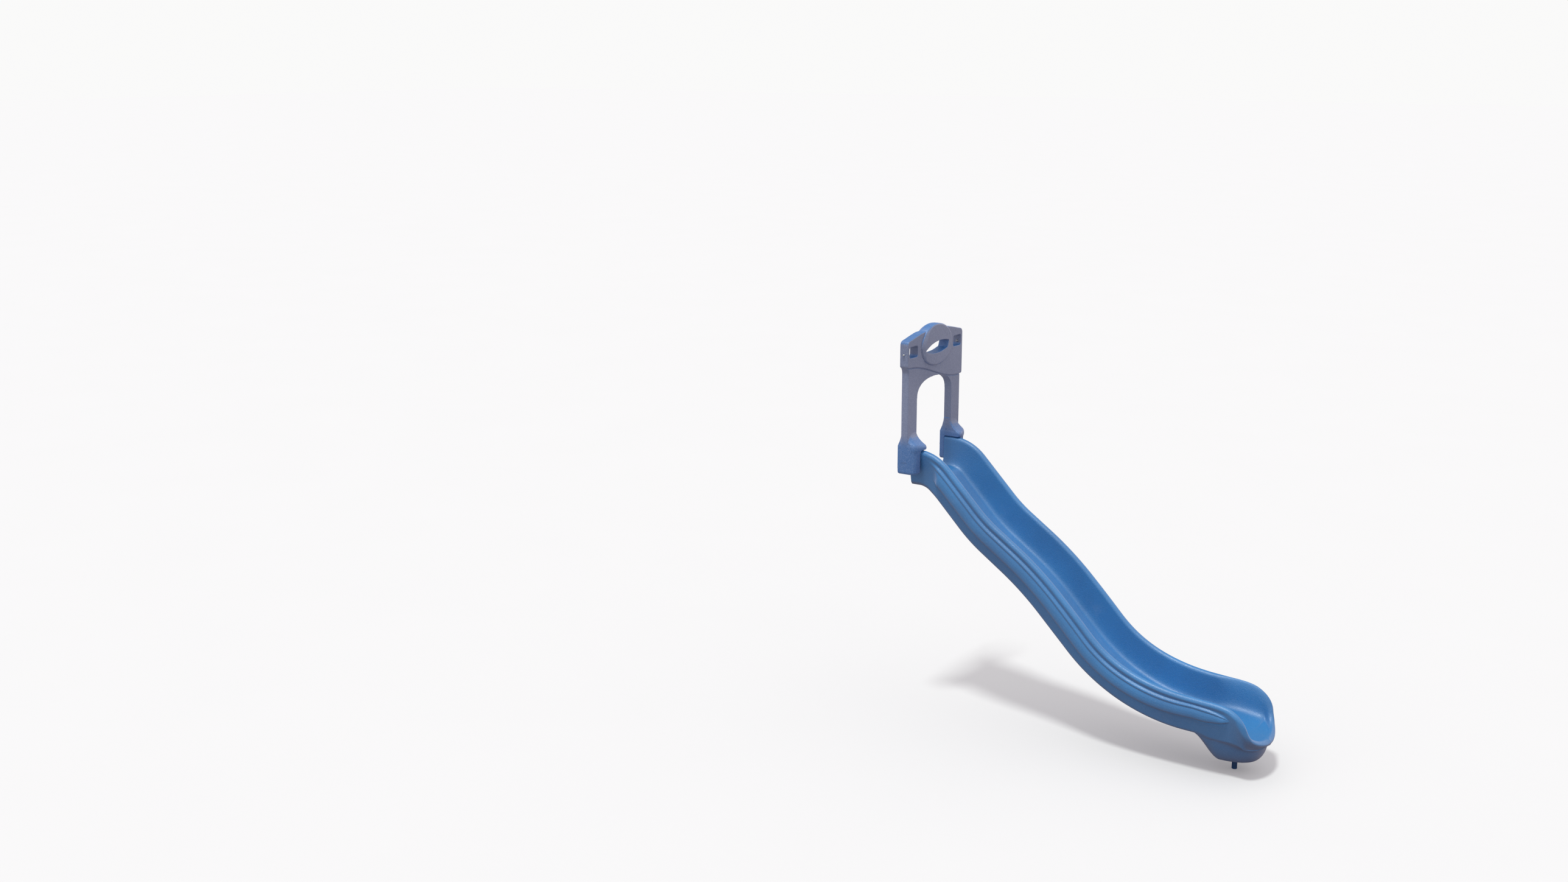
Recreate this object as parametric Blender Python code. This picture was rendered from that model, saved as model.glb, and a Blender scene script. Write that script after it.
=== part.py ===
"""Wave slide for a play structure.

A double-wall moulded chute with an entry hood, a steel exit support and their fasteners.
Units are metres, +Z is up. +X is the way the slide runs, away from the deck, and +Y is across
it. The origin is on the ground at the centre of the footprint. The x values in this file are
measured from the line between the axes of the two deck posts, and object_from() takes ORIGIN_X
off them.
"""

from math import cos, pi, radians, sin

import bmesh
import bpy
from mathutils import Matrix, Vector

# ---- Driving dimensions -------------------------------------------------------------------------

ORIGIN_X = 1.357               # the footprint's centre, from the line between the deck posts
GAP = 0.0005                   # clearance between two pieces that touch on the real slide

ENTRY_X = -0.018               # end face of the chute, against the deck's edge
BED_START_Z = 1.827            # bed level at the entry, flush with a 1.829 m deck
# Bed centre line from the entry: (length) for a straight, (radius, turn in degrees) for an arc
BED_RUN = (
    (0.066,),
    (0.163, -45.6),
    (0.369,),
    (1.241, 11.1),
    (0.209,),
    (2.296, -10.6),
    (0.339,),
    (1.318, 43.2),
    (0.450,),
)

RAIL_HALF_WIDTH = 0.270        # from the centre line to the rail's core
RAIL_RADIUS = 0.027
CREST_AT_ENTRY = 0.2226        # rail top above the bed, square to it
CREST_AT_EXIT = 0.2315
CREST_FALL = 0.006             # the rails start to come down before the exit's sweep
CREST_FALL_S = 2.650
CREST_SAG = 0.009              # and are a little lower through the last bend
CREST_SAG_S = (1.50, 2.60)
BED_HALF_WIDTH = 0.190         # flat part of the bed
BED_THICKNESS = 0.048
FILLET_REACH = 0.049           # pull of the fillet between the bed and the wall
ENTRY_THICKNESS = 0.018        # the body is this much deeper at the entry
ENTRY_THINS_S = (0.10, 0.30)   # and thins to the rest of the chute between these
BODY_HALF_WIDTH = 0.251        # lower body at its corner
CORNER_DEPTH = 0.245           # of that corner, below the rail top

LEAF_TOP_T = 0.26              # leaf-shaped bulge on the outer side, as shares of the side's height
LEAF_FOOT_T = 0.745
LEAF_START_S = 0.125           # along the bed centre line
LEAF_END_S = 3.128
LEAF_FADE = 0.07
# The leaf's upper and lower edges along the bed: (distance, share of the side's height)
LEAF_UPPER = ((0.0, 0.26), (2.50, 0.26), (2.84, 0.195), (2.956, 0.215), (3.07, 0.285),
              (3.115, 0.330), (3.32, 0.26), (3.7, 0.26))
LEAF_LOWER = ((0.0, 0.745), (2.40, 0.745), (2.856, 0.665), (2.968, 0.598), (3.05, 0.535),
              (3.10, 0.440), (3.115, 0.395), (3.32, 0.745), (3.7, 0.745))
SIDE_KEEPS = 0.86              # below this share of the height the side doesn't follow the leaf
LEAF_SLANT = 0.12              # the leaf's start leans forward towards its foot by this much
LEAF_RISE = 0.045              # length over which the leaf comes out of the side at its start
LEAF_THINS = 0.6               # power of the leaf's width that its thickness follows to the tip

# Share of the outer side's height, and how far the leaf stands out there
OUTER_LINES = (
    (0.10, 0.0),
    (0.20, -0.003),
    (0.30, 0.0115),
    (0.37, 0.0135),
    (0.50, 0.0240),
    (0.62, 0.0290),
    (0.72, 0.0255),
    (0.745, 0.0),
    (0.86, 0.0),
)
INNER_STEPS = (0.0, 0.17, 0.34, 0.52, 0.74)
RAIL_SHARES = (0.0, 0.22, 0.42, 0.60, 0.80, 1.0)
# The lower lines, from the corner to the centre: (half width, depth under the bed) along the
# chute, and (half width, height as a share from the foot's bottom up to the ridge) on the foot
LOWER_LINES = (
    ((0.247, 0.034), (0.234, 0.95)),
    ((0.236, 0.045), (0.216, 0.60)),
    ((0.212, BED_THICKNESS), (0.192, 0.26)),
    ((0.180, BED_THICKNESS), (0.172, 0.08)),
    ((0.145, BED_THICKNESS), (0.148, 0.0)),
    ((0.070, BED_THICKNESS), (0.070, 0.0)),
)
# Where each lower line ends on the centre line in front: (x, height share)
LOWER_TIPS = ((2.743, 0.93), (2.736, 0.60), (2.720, 0.26), (2.699, 0.08), (2.674, 0.0), (2.600, 0.0))

EXIT_X = 2.430                 # where the rails begin to sweep down to the lip
LIP_X = 2.755                  # core of the rolled lip at the centre line
LIP_Z = 0.2515
# The rail's core down the sweep: (forward of EXIT_X, in from the rail's half width, down)
RIM_SWEEP = ((0, 0, 0), (0.068, 0.0005, 0.007), (0.125, 0.002, 0.021), (0.170, 0.003, 0.046),
             (0.202, 0.004, 0.074), (0.224, 0.005, 0.105), (0.238, 0.008, 0.140),
             (0.248, 0.017, 0.173), (0.259, 0.035, 0.200))
# And across the lip: (back from LIP_X, half width, above LIP_Z)
RIM_LIP = ((0.052, 0.208, 0.057), (0.030, 0.160, 0.032), (0.012, 0.105, 0.014),
           (0.003, 0.052, 0.003), (0, 0, 0))
LIP_ANGLES = (78.0, -60.0)     # the lip's round starts and ends here, from its outermost side
BED_DIP_X = 2.450              # the bed curves down from here to the lip
BED_DIP_POWER = 1.7            # how late it does so
BED_UNDER_LIP = 0.0065         # the bed's end, above the start of the lip's round
BED_INSET = (0.080, 0.030)     # bed edge inside the rail's core: at the sweep's start, at the lip
RIDGE_OFFSET = (-0.026, -0.008)  # the ridge outside the rail's core: at the sweep's start, in front
RIDGE_SHIFTS = (0.35, 0.80)    # shares of the way round between which it goes over to the second
GROOVE_DEPTH = 0.010           # between the lip and the ridge
WALL_FULL = 0.12               # height at which the exit's wall has the same section as the chute's

EXIT_LENGTH = 0.620            # along the rail, from the sweep's start to the centre line
EXIT_RINGS = 14

FOOT_REAR_X = 2.310            # moulded foot under the exit
FOOT_FULL_X = 2.480
FOOT_BOTTOM_Z = 0.100
FOOT_ROUNDNESS = 0.80          # 1 would be an ellipse in plan, and less is squarer
FOOT_REAR_POWER = 1.12         # shape of its rear slope
RIDGE_Z = 0.279                # parting ridge round the exit
RIDGE_FRONT_Z = 0.212

HOOD_FRONT_X = 0.026
HOOD_BACK_X = -0.034
BAND_RAISE = 0.005             # the top band stands proud of the legs
LEG_OUTER_Y = 0.390
BAND_OUTER_Y = 0.410
BAND_TOP_Z = (2.926, 2.884)    # its top edge beside the medallion, and at its ends
BAND_TOP_Y = (0.16, 0.42)      # it falls from the one to the other between these
BAND_CORNER = 0.022
BAND_STEP_Z = 2.606            # the step under the band, at its middle
BAND_STEP_SWING = 0.076        # up to the -Y side and down to the +Y side
SHOULDER_Z = (2.655, 2.695)    # the legs widen to the band between these
ARCH_HALF_WIDTH = 0.258
ARCH_SPRING_Z = 2.440
ARCH_TOP_Z = 2.570
ARCH_ROUNDNESS = 2.3
LEG_BOTTOM_Z = 1.871
MEDALLION_Z = 2.8125
MEDALLION_HALF_WIDTH = 0.230
MEDALLION_HALF_HEIGHT = 0.1575
# The medallion's edge, from the back face to the front: (x, how far it is drawn in there)
MEDALLION_PROFILE = (
    (-0.041, 0.024), (-0.037, 0.010), (-0.024, 0.002), (-0.010, 0.0),
    (0.036, 0.0), (0.042, 0.003), (0.045, 0.010),
)
# The eye through the medallion: its pointed end, and its top and bottom edges to the blunt end
EYE_TOP = ((-0.168, 2.780), (-0.085, 2.817), (0.010, 2.836), (0.100, 2.837), (0.176, 2.824))
EYE_FOOT = ((0.157, 2.771), (0.060, 2.751), (-0.060, 2.749), (-0.130, 2.762), (-0.168, 2.780))
WINDOW_Y = (0.266, 0.386)
WINDOW_Z = (2.755, 2.837)
WINDOW_RADIUS = 0.016

BOOT_BACK_X = -0.060
BOOT_FRONT_X = 0.088
BOOT_TOP_Z = 2.098
BOOT_INNER_Y = 0.3005          # clears the rail's outer side
WEB_FRONT_X = ENTRY_X - GAP
WEB_INNER_Y = 0.245
NOSE_X = 0.113
NOSE_BOTTOM_Z = BED_START_Z + CREST_AT_ENTRY + 0.003

TUBE_RADIUS = 0.019
TUBE_WALL = 0.0026
SUPPORT_X = 2.530
PLATE_SIZE = (0.100, 0.160)    # along X and Y
PLATE_THICKNESS = 0.006
PLATE_BOTTOM_Z = 0.1205
PLATE_BOLT = (0.034, 0.060)    # bolt offsets from the plate's centre
POCKET_MARGIN = 0.004

BOLT_RADIUS = 0.005            # M10 shank
BORE_RADIUS = 0.0062
HEAD_RADIUS = 0.0092
HEAD_HEIGHT = 0.0052
SOCKET_RADIUS = 0.0032
SOCKET_DEPTH = 0.0030
WASHER_RADIUS = 0.0105
WASHER_THICKNESS = 0.0018
INSERT_RADIUS = 0.0080
INSERT_BORE_RADIUS = 0.0054
INSERT_LENGTH = 0.025
INSERT_BORE_DEPTH = 0.022
SUPPORT_BOLT_LENGTH = 0.026    # under the head
HOOD_BOLT_LENGTH = 0.060
ROUND_SEGMENTS = 12
TUBE_SEGMENTS = 24

DECK_INSERT_Y = (0.075, 0.195)
DECK_INSERT_Z = BED_START_Z - 0.024
HOOD_BOLT_Y = 0.2655
HOOD_BOLT_Z = (1.893, 1.982)
POST_BOLT_X = -0.004
POST_BOLT_Z = 2.781
POST_BOLT_REACH = 0.424        # |Y| of the shank's tip, just inside the post's wall

# Colour, roughness, metallic
LOOKS = {
    "chute_blue": ((0.030, 0.200, 0.500, 1), 0.42, 0.0),
    "hood_blue": ((0.200, 0.245, 0.390, 1), 0.50, 0.0),
    "powder_blue": ((0.020, 0.055, 0.150, 1), 0.45, 0.2),
    "steel": ((0.560, 0.570, 0.580, 1), 0.32, 1.0),
    "brass": ((0.620, 0.480, 0.220, 1), 0.35, 1.0),
}

# ---- Scene helpers ------------------------------------------------------------------------------


def clear_scene():
    for obj in list(bpy.data.objects):
        bpy.data.objects.remove(obj, do_unlink=True)


def material(slot):
    found = bpy.data.materials.get(slot)
    if found:
        return found
    colour, roughness, metallic = LOOKS[slot]
    made = bpy.data.materials.new(slot)
    made.use_nodes = True
    shader = made.node_tree.nodes["Principled BSDF"]
    shader.inputs["Base Color"].default_value = colour
    shader.inputs["Roughness"].default_value = roughness
    shader.inputs["Metallic"].default_value = metallic
    return made


def object_from(name, bm, slot, smooth_angle=32.0):
    """A mesh object from a bmesh, faces out, with its own material."""
    bmesh.ops.translate(bm, vec=(-ORIGIN_X, 0, 0), verts=bm.verts)
    bmesh.ops.remove_doubles(bm, verts=bm.verts, dist=1e-6)
    bmesh.ops.recalc_face_normals(bm, faces=bm.faces)
    mesh = bpy.data.meshes.new(name)
    bm.to_mesh(mesh)
    bm.free()
    mesh.shade_smooth()
    mesh.set_sharp_from_angle(angle=radians(smooth_angle))
    obj = bpy.data.objects.new(name, mesh)
    bpy.context.scene.collection.objects.link(obj)
    obj.data.materials.append(material(slot))
    return obj


def as_cutter(obj):
    obj.hide_render = True
    obj.display_type = "WIRE"
    return obj


def boolean(obj, other, operation):
    modifier = obj.modifiers.new(f"{operation.lower()}_{other.name}", "BOOLEAN")
    modifier.operation = operation
    modifier.object = as_cutter(other)
    modifier.solver = "EXACT"


def loops_to_bmesh(loops, closed_tube=False):
    """Bridges rings of equally many points. Its ends are capped, or joined to each other."""
    bm = bmesh.new()
    rings = [[bm.verts.new(p) for p in loop] for loop in loops]
    pairs = list(zip(rings, rings[1:]))
    if closed_tube:
        pairs.append((rings[-1], rings[0]))
    for first, second in pairs:
        count = len(first)
        for i in range(count):
            j = (i + 1) % count
            bm.faces.new((first[i], first[j], second[j], second[i]))
    if not closed_tube:
        bm.faces.new(rings[0][::-1])
        bm.faces.new(rings[-1])
    return bm


def stack(name, outline, profile, slot):
    """A plate from a (y, z) outline, built up from (x, how far the outline is drawn in there)."""
    loops = []
    for x, drawn_in in profile:
        shape = inset(outline, drawn_in) if drawn_in else outline
        loops.append([(x, y, z) for y, z in shape])
    return object_from(name, loops_to_bmesh(loops), slot)


def prism(name, outline, x_back, x_front, slot, chamfer=0.0):
    """A plate from a (y, z) outline, between two values of x, with both its edges chamfered."""
    profile = [(x_back, chamfer), (x_front, chamfer)]
    if chamfer:
        profile[1:1] = [(x_back + chamfer, 0.0), (x_front - chamfer, 0.0)]
    return stack(name, outline, profile, slot)


def inset(outline, distance):
    """A counter-clockwise outline moved inwards by a distance, corner by corner."""
    moved = []
    count = len(outline)
    for i, (y, z) in enumerate(outline):
        before = outline[i - 1]
        after = outline[(i + 1) % count]
        a = Vector((y - before[0], z - before[1])).normalized()
        b = Vector((after[0] - y, after[1] - z)).normalized()
        inward = Vector((-a.y - b.y, a.x + b.x)).normalized()
        grow = 1 / max(0.5, inward.dot(Vector((-a.y, a.x))))
        moved.append((y + inward.x * distance * grow, z + inward.y * distance * grow))
    return moved


def smooth(t):
    t = min(1.0, max(0.0, t))
    return t * t * (3 - 2 * t)


def mix(a, b, t):
    return a + (b - a) * t


def bezier(points, t):
    a, b, c, d = points
    u = 1 - t
    return a * u**3 + b * (3 * u * u * t) + c * (3 * u * t * t) + d * t**3


def catmull(points, t):
    """A smooth curve through the points, t running from 0 to 1 over all its spans."""
    spans = len(points) - 1
    i = min(int(t * spans), spans - 1)
    u = t * spans - i
    before = points[i - 1] if i else points[0] * 2 - points[1]
    after = points[i + 2] if i + 2 < len(points) else points[-1] * 2 - points[-2]
    start, end = points[i], points[i + 1]
    return 0.5 * (
        start * 2
        + (end - before) * u
        + (before * 2 - start * 5 + end * 4 - after) * u**2
        + (start * 3 - before - end * 3 + after) * u**3
    )


def even_steps(curve, count):
    """Points of a curve at equal steps along its length, both ends included."""
    fine = [curve(i / 200) for i in range(201)]
    walked = [0.0]
    for a, b in zip(fine, fine[1:]):
        walked.append(walked[-1] + (b - a).length)
    points = []
    at = 0
    for k in range(count):
        target = walked[-1] * k / (count - 1)
        while at < len(walked) - 2 and walked[at + 1] < target:
            at += 1
        share = (target - walked[at]) / max(1e-12, walked[at + 1] - walked[at])
        points.append(fine[at].lerp(fine[at + 1], share))
    return points


# ---- Chute --------------------------------------------------------------------------------------


def bed_frame(s):
    """Place and heading (radians) on the bed centre line, a distance s from the entry."""
    x, z, heading = ENTRY_X, BED_START_Z, 0.0
    left = s
    for piece in BED_RUN:
        if len(piece) == 1:
            length, turn, radius = piece[0], 0.0, 0.0
        else:
            radius, turn = piece[0], radians(piece[1])
            length = radius * abs(turn)
        step = min(left, length)
        if turn:
            sign = 1 if turn > 0 else -1
            after = heading + sign * step / radius
            x += sign * radius * (sin(after) - sin(heading))
            z -= sign * radius * (cos(after) - cos(heading))
            heading = after
        else:
            x += step * cos(heading)
            z += step * sin(heading)
        left -= step
        if left <= 0:
            break
    return x, z, heading


def exit_start():
    """The distance along the bed at which the exit's sweep begins."""
    low, high = 2.0, 3.4
    for _ in range(40):
        middle = (low + high) / 2
        if bed_frame(middle)[0] < EXIT_X:
            low = middle
        else:
            high = middle
    return low


def crest_height(s):
    grown = mix(CREST_AT_ENTRY, CREST_AT_EXIT, min(1.0, s / CREST_FALL_S))
    fall = CREST_FALL * smooth((s - CREST_FALL_S) / (exit_start() - CREST_FALL_S))
    bend = min(1.0, max(0.0, (s - CREST_SAG_S[0]) / (CREST_SAG_S[1] - CREST_SAG_S[0])))
    return grown - fall - CREST_SAG * sin(pi * bend) ** 2


def thickness_share(s):
    """How much deeper the underside is at s than along most of the chute."""
    start, end = ENTRY_THINS_S
    return 1 + ENTRY_THICKNESS / BED_THICKNESS * (1 - smooth((s - start) / (end - start)))


def between(knots, at):
    """The value at a place, on straight lines through (place, value) knots."""
    for (low, a), (high, b) in zip(knots, knots[1:]):
        if at <= high:
            return mix(a, b, (at - low) / (high - low))
    return knots[-1][1]


def outer_points(curve, s):
    """The outer side with its leaf, as points from the rail down to the body's corner."""
    upper, lower = between(LEAF_UPPER, s), between(LEAF_LOWER, s)
    follow = ((0.0, 0.0), (0.08, min(0.08, upper - 0.10)), (LEAF_TOP_T, upper), (LEAF_FOOT_T, lower),
              (SIDE_KEEPS, max(SIDE_KEEPS - 0.08, lower + 0.06)), (1.0, 1.0))
    width = (lower - upper) / (LEAF_FOOT_T - LEAF_TOP_T)
    faded = width**LEAF_THINS * smooth((LEAF_END_S - s) / LEAF_FADE)
    points = []
    for t, out in OUTER_LINES:
        start = LEAF_START_S + LEAF_SLANT * (t - LEAF_TOP_T)
        proud = out * smooth((s - start) / LEAF_RISE) * faded
        points.append(bezier(curve, between(follow, t)) + Vector((0, proud, 0)))
    return points


def foot_share(x):
    """How far the underside has come down to the foot's bottom."""
    u = min(1.0, max(0.0, (x - FOOT_REAR_X) / (FOOT_FULL_X - FOOT_REAR_X)))
    return sin(pi / 2 * u) ** FOOT_REAR_POWER


def straight_ring(s):
    """Half a cross-section, from the bed's centre round to the underside's centre."""
    x, z, heading = bed_frame(s)
    normal = Vector((-sin(heading), 0, cos(heading)))
    origin = Vector((x, 0, z))
    crest = crest_height(s)

    def at(y, n):
        return origin + normal * n + Vector((0, y, 0))

    core = at(RAIL_HALF_WIDTH, crest - RAIL_RADIUS)
    ring = [at(0, 0), at(BED_HALF_WIDTH / 2, 0)]
    side = Vector((0, 1, 0))
    inner = inner_curve(at(BED_HALF_WIDTH, 0), side, core, side, normal, pi)
    ring += [bezier(inner, t) for t in INNER_STEPS]
    ring += rail_arc(core, side, normal, pi, 0)
    deeper = BED_THICKNESS * (thickness_share(s) - 1)
    corner = at(BODY_HALF_WIDTH, crest - CORNER_DEPTH - deeper)
    ridge_share = foot_share(x)
    corner = corner.lerp(Vector((corner.x, 0.244, RIDGE_Z)), ridge_share)
    outer = outer_curve(core, side, normal, corner, 0, 1)
    ring += outer_points(outer, s)
    ring.append(corner)
    for (body_y, depth), (foot_y, height) in LOWER_LINES:
        body = at(body_y, -depth * thickness_share(s))
        foot = Vector((body.x, foot_y, mix(FOOT_BOTTOM_Z, RIDGE_Z, height)))
        ring.append(body.lerp(foot, foot_share(body.x)))
    ring.append(Vector((ring[-1].x, 0, ring[-1].z)))
    return ring


def inner_curve(start, outward, core, side, up, angle):
    """The inner wall, from the bed's edge, through its fillet, to the rail's round at an angle."""
    end = core + (side * cos(angle) + up * sin(angle)) * RAIL_RADIUS
    arrival = side * sin(angle) - up * cos(angle)
    rise = max(0.0, (end - start).dot(up))
    reach = (end - start).length
    handle = mix(0.40 * reach, 0.74 * rise, smooth(rise / WALL_FULL))
    return (start, start + outward * min(FILLET_REACH, 0.45 * reach), end - arrival * handle, end)


def rail_arc(core, side, up, start_angle, end_angle):
    """The rail's round, from its inner side over the crest to its outer side."""
    points = []
    for share in RAIL_SHARES:
        a = mix(start_angle, end_angle, share)
        points.append(core + (side * cos(a) + up * sin(a)) * RAIL_RADIUS)
    return points


def outer_curve(core, side, up, corner, angle, wall):
    """The outer side without its leaf, from under the rail to the body's lower corner."""
    start = core + (side * cos(angle) + up * sin(angle)) * RAIL_RADIUS
    drop = (corner - start).length
    leaving = side * sin(angle) - up * cos(angle)
    tall = (start - up * 0.105 * drop - side * 0.004, start.lerp(corner, 0.56) + side * 0.0012)
    low = (start + leaving * GROOVE_DEPTH, corner - side * GROOVE_DEPTH + up * 0.003)
    return (start, low[0].lerp(tall[0], wall), low[1].lerp(tall[1], wall), corner)


def rim_core():
    """The rail core's path round the exit: down the sweep, then across the lip to the centre."""
    _, z, _ = bed_frame(exit_start())
    top = z + crest_height(exit_start()) - RAIL_RADIUS
    points = [Vector((EXIT_X + x, RAIL_HALF_WIDTH - y, top - down)) for x, y, down in RIM_SWEEP]
    points += [Vector((LIP_X - back, y, LIP_Z + up)) for back, y, up in RIM_LIP]
    return lambda t: catmull(points, t)


def bed_height(x):
    """Bed level at x in the exit, dipping towards the lip."""
    _, z, heading = bed_frame(exit_start())
    level = z + (x - EXIT_X) * sin(heading)
    end = LIP_X - BED_INSET[1]
    lip_top = LIP_Z + RAIL_RADIUS * sin(radians(LIP_ANGLES[0])) + BED_UNDER_LIP
    drop = level - lip_top
    share = max(0.0, (x - BED_DIP_X) / (end - BED_DIP_X))
    return level - drop * share**BED_DIP_POWER


def lower_lines(count):
    """The lines under the exit, each as its points from the sweep's start round to its tip."""
    start = straight_ring(exit_start())
    first = len(start) - 1 - len(LOWER_LINES)
    lines = []
    for at, shape, (tip_x, tip_height) in zip(start[first:-1], LOWER_LINES, LOWER_TIPS):
        (_, depth), (_, height) = shape
        line = even_steps(turned(at.x, at.y, tip_x), count)
        for k, point in enumerate(line):
            t = k / (count - 1)
            up = mix(height, tip_height, smooth(t))
            foot = mix(FOOT_BOTTOM_Z, ridge_height(t), up)
            point.z = mix(bed_height(at.x) - depth, foot, foot_share(point.x))
        lines.append(line)
    return lines


def ridge_height(t):
    return mix(RIDGE_Z, RIDGE_FRONT_Z, smooth((t - 0.15) / 0.85))


def turned(start_x, half_width, tip_x):
    """A line of the foot in plan, from beside the centre line round to its tip on it."""

    def place(t):
        x = start_x + (tip_x - start_x) * sin(t * pi / 2) ** FOOT_ROUNDNESS
        y = half_width * max(0.0, cos(t * pi / 2)) ** FOOT_ROUNDNESS
        return Vector((x, y, 0))

    return place


def side_of(cores, k):
    """The rim's direction at a point of its core, and the horizontal direction out of it."""
    if k == len(cores) - 1:
        along = Vector((0, -1, 0))
    else:
        along = (cores[k + 1] - cores[max(0, k - 1)]).normalized()
    return along, Vector((0, 0, 1)).cross(along).normalized()


def ridge_path(cores, sides):
    """The ridge round the exit, a point for each of the rim's, eased where the rim turns."""
    last = len(cores) - 1
    points = []
    for k, (core, (_, side)) in enumerate(zip(cores, sides)):
        share = smooth((k / last - RIDGE_SHIFTS[0]) / (RIDGE_SHIFTS[1] - RIDGE_SHIFTS[0]))
        points.append(core + side * mix(*RIDGE_OFFSET, share))
    points[1:-1] = [(points[i - 1] + points[i] * 2 + points[i + 1]) / 4 for i in range(1, last)]
    for k, point in enumerate(points):
        point.z = ridge_height(k / last)
    return points


def exit_rings(count):
    """Half cross-sections that fan round the exit and close on the centre line."""
    cores = even_steps(rim_core(), count)
    sides = [side_of(cores, k) for k in range(count)]
    ridge = ridge_path(cores, sides)
    lowers = lower_lines(count)
    rings = []
    for k in range(1, count):
        share = k / (count - 1)
        along, side = sides[k]
        edge = cores[k] - side * mix(*BED_INSET, smooth(share * 1.15))
        edge.y = max(0.0, edge.y)
        edge.z = bed_height(edge.x)
        rings.append(exit_ring(share, edge, cores[k], side, along.cross(side), ridge[k],
                               [line[k] for line in lowers]))
    for point in rings[-1]:
        point.y = 0.0
    return rings


def exit_ring(share, edge, core, side, up, corner, lower):
    s = exit_start() + EXIT_LENGTH * share
    wall = smooth((core.z - edge.z + RAIL_RADIUS) / WALL_FULL)
    start_angle = mix(radians(LIP_ANGLES[0]), pi, wall)
    end_angle = mix(radians(LIP_ANGLES[1]), 0, wall)
    bed_middle = Vector((edge.x, 0, edge.z))
    ring = [bed_middle, bed_middle.lerp(edge, 0.5)]
    inner = inner_curve(edge, side, core, side, up, start_angle)
    ring += [bezier(inner, t) for t in INNER_STEPS]
    ring += rail_arc(core, side, up, start_angle, end_angle)
    outer = outer_curve(core, side, up, corner, end_angle, wall)
    ring += outer_points(outer, s)
    ring.append(corner)
    ring += lower
    ring.append(Vector((lower[-1].x, 0, lower[-1].z)))
    return ring


def whole_ring(half):
    """The half ring and its mirror image, as one closed loop."""
    mirrored = [Vector((p.x, -p.y, p.z)) for p in half[-2:0:-1]]
    return half + mirrored


def chute_stations():
    """Distances along the bed, closer together where it bends or the leaf and foot begin."""
    marks = [0.0, 0.066, 0.105, 0.135, 0.165, 0.20, 0.26, 0.35, 0.45, 0.565, 0.66, 0.75, 0.90, 1.05,
             1.20, 1.35, 1.51, 1.63, 1.75, 1.87, 1.99, 2.11, 2.23, 2.35, 2.47, 2.59, 2.71, 2.80,
             2.84, 2.88, 2.92]
    last = exit_start()
    return [s for s in marks if s < last - 0.015] + [last]


def make_chute():
    halves = [straight_ring(s) for s in chute_stations()]
    halves += exit_rings(EXIT_RINGS)
    bm = loops_to_bmesh([whole_ring(half) for half in halves[:-1]])
    caps = [face for face in bm.faces if len(face.verts) > 4]
    front = max(caps, key=lambda face: face.calc_center_median().x)
    bmesh.ops.delete(bm, geom=[front], context="FACES_ONLY")
    close_on_tip(bm, whole_ring(halves[-2]), halves[-1])
    bmesh.ops.triangulate(bm, faces=[f for f in bm.faces if len(f.verts) == 4])
    chute = object_from("slide_chute", bm, "chute_blue")
    for place, axis in insert_places():
        boolean(chute, rod(f"bore_{len(chute.modifiers)}", place - axis * (INSERT_LENGTH + GAP),
                           axis, INSERT_RADIUS + GAP, INSERT_LENGTH + 0.02), "DIFFERENCE")
    pocket = box_object("plate_pocket",
                        Vector((SUPPORT_X, 0, PLATE_BOTTOM_Z + PLATE_THICKNESS + GAP - 0.03)),
                        (PLATE_SIZE[0] + 2 * POCKET_MARGIN, PLATE_SIZE[1] + 2 * POCKET_MARGIN, 0.06))
    boolean(chute, pocket, "DIFFERENCE")
    return chute


def close_on_tip(bm, ring, tip):
    """Joins the last open ring to the line of points on the centre plane, from both sides."""
    bm.verts.ensure_lookup_table()
    find = {tuple(round(c, 6) for c in v.co): v for v in bm.verts}
    last = [find[tuple(round(c, 6) for c in Vector(p))] for p in ring]
    ends = [bm.verts.new(p) for p in tip]
    half = len(tip)
    count = len(last)
    for i in range(half - 1):
        bm.faces.new((last[i], last[i + 1], ends[i + 1], ends[i]))
        j, k = (count - i) % count, (count - i - 1) % count
        bm.faces.new((last[k], last[j], ends[i], ends[i + 1]))


# ---- Hood ---------------------------------------------------------------------------------------


def arc_points(centre, radius, start, end, steps):
    """Points on an arc in the (y, z) plane, angles in degrees."""
    points = []
    for i in range(steps + 1):
        a = radians(mix(start, end, i / steps))
        points.append((centre[0] + radius * cos(a), centre[1] + radius * sin(a)))
    return points


def rounded_box(y_low, y_high, z_low, z_high, radius, steps=3):
    """A counter-clockwise rectangle in (y, z) with its corners rounded."""
    outline = []
    for y, z, start in (
        (y_high - radius, z_high - radius, 0),
        (y_low + radius, z_high - radius, 90),
        (y_low + radius, z_low + radius, 180),
        (y_high - radius, z_low + radius, 270),
    ):
        outline += arc_points((y, z), radius, start, start + 90, steps)
    return outline


def ellipse(centre_z, half_width, half_height, steps):
    angles = [2 * pi * i / steps for i in range(steps)]
    return [(half_width * cos(a), centre_z + half_height * sin(a)) for a in angles]


def eye_outline(steps=8):
    """A leaf shape, counter-clockwise: pointed at the -Y end and blunt at the other."""
    outline = []
    for edge in (EYE_FOOT[::-1], EYE_TOP[::-1]):
        points = [Vector(p) for p in edge]
        outline += [tuple(catmull(points, i / steps)) for i in range(steps + 1)]
    return outline[:-1]


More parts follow.
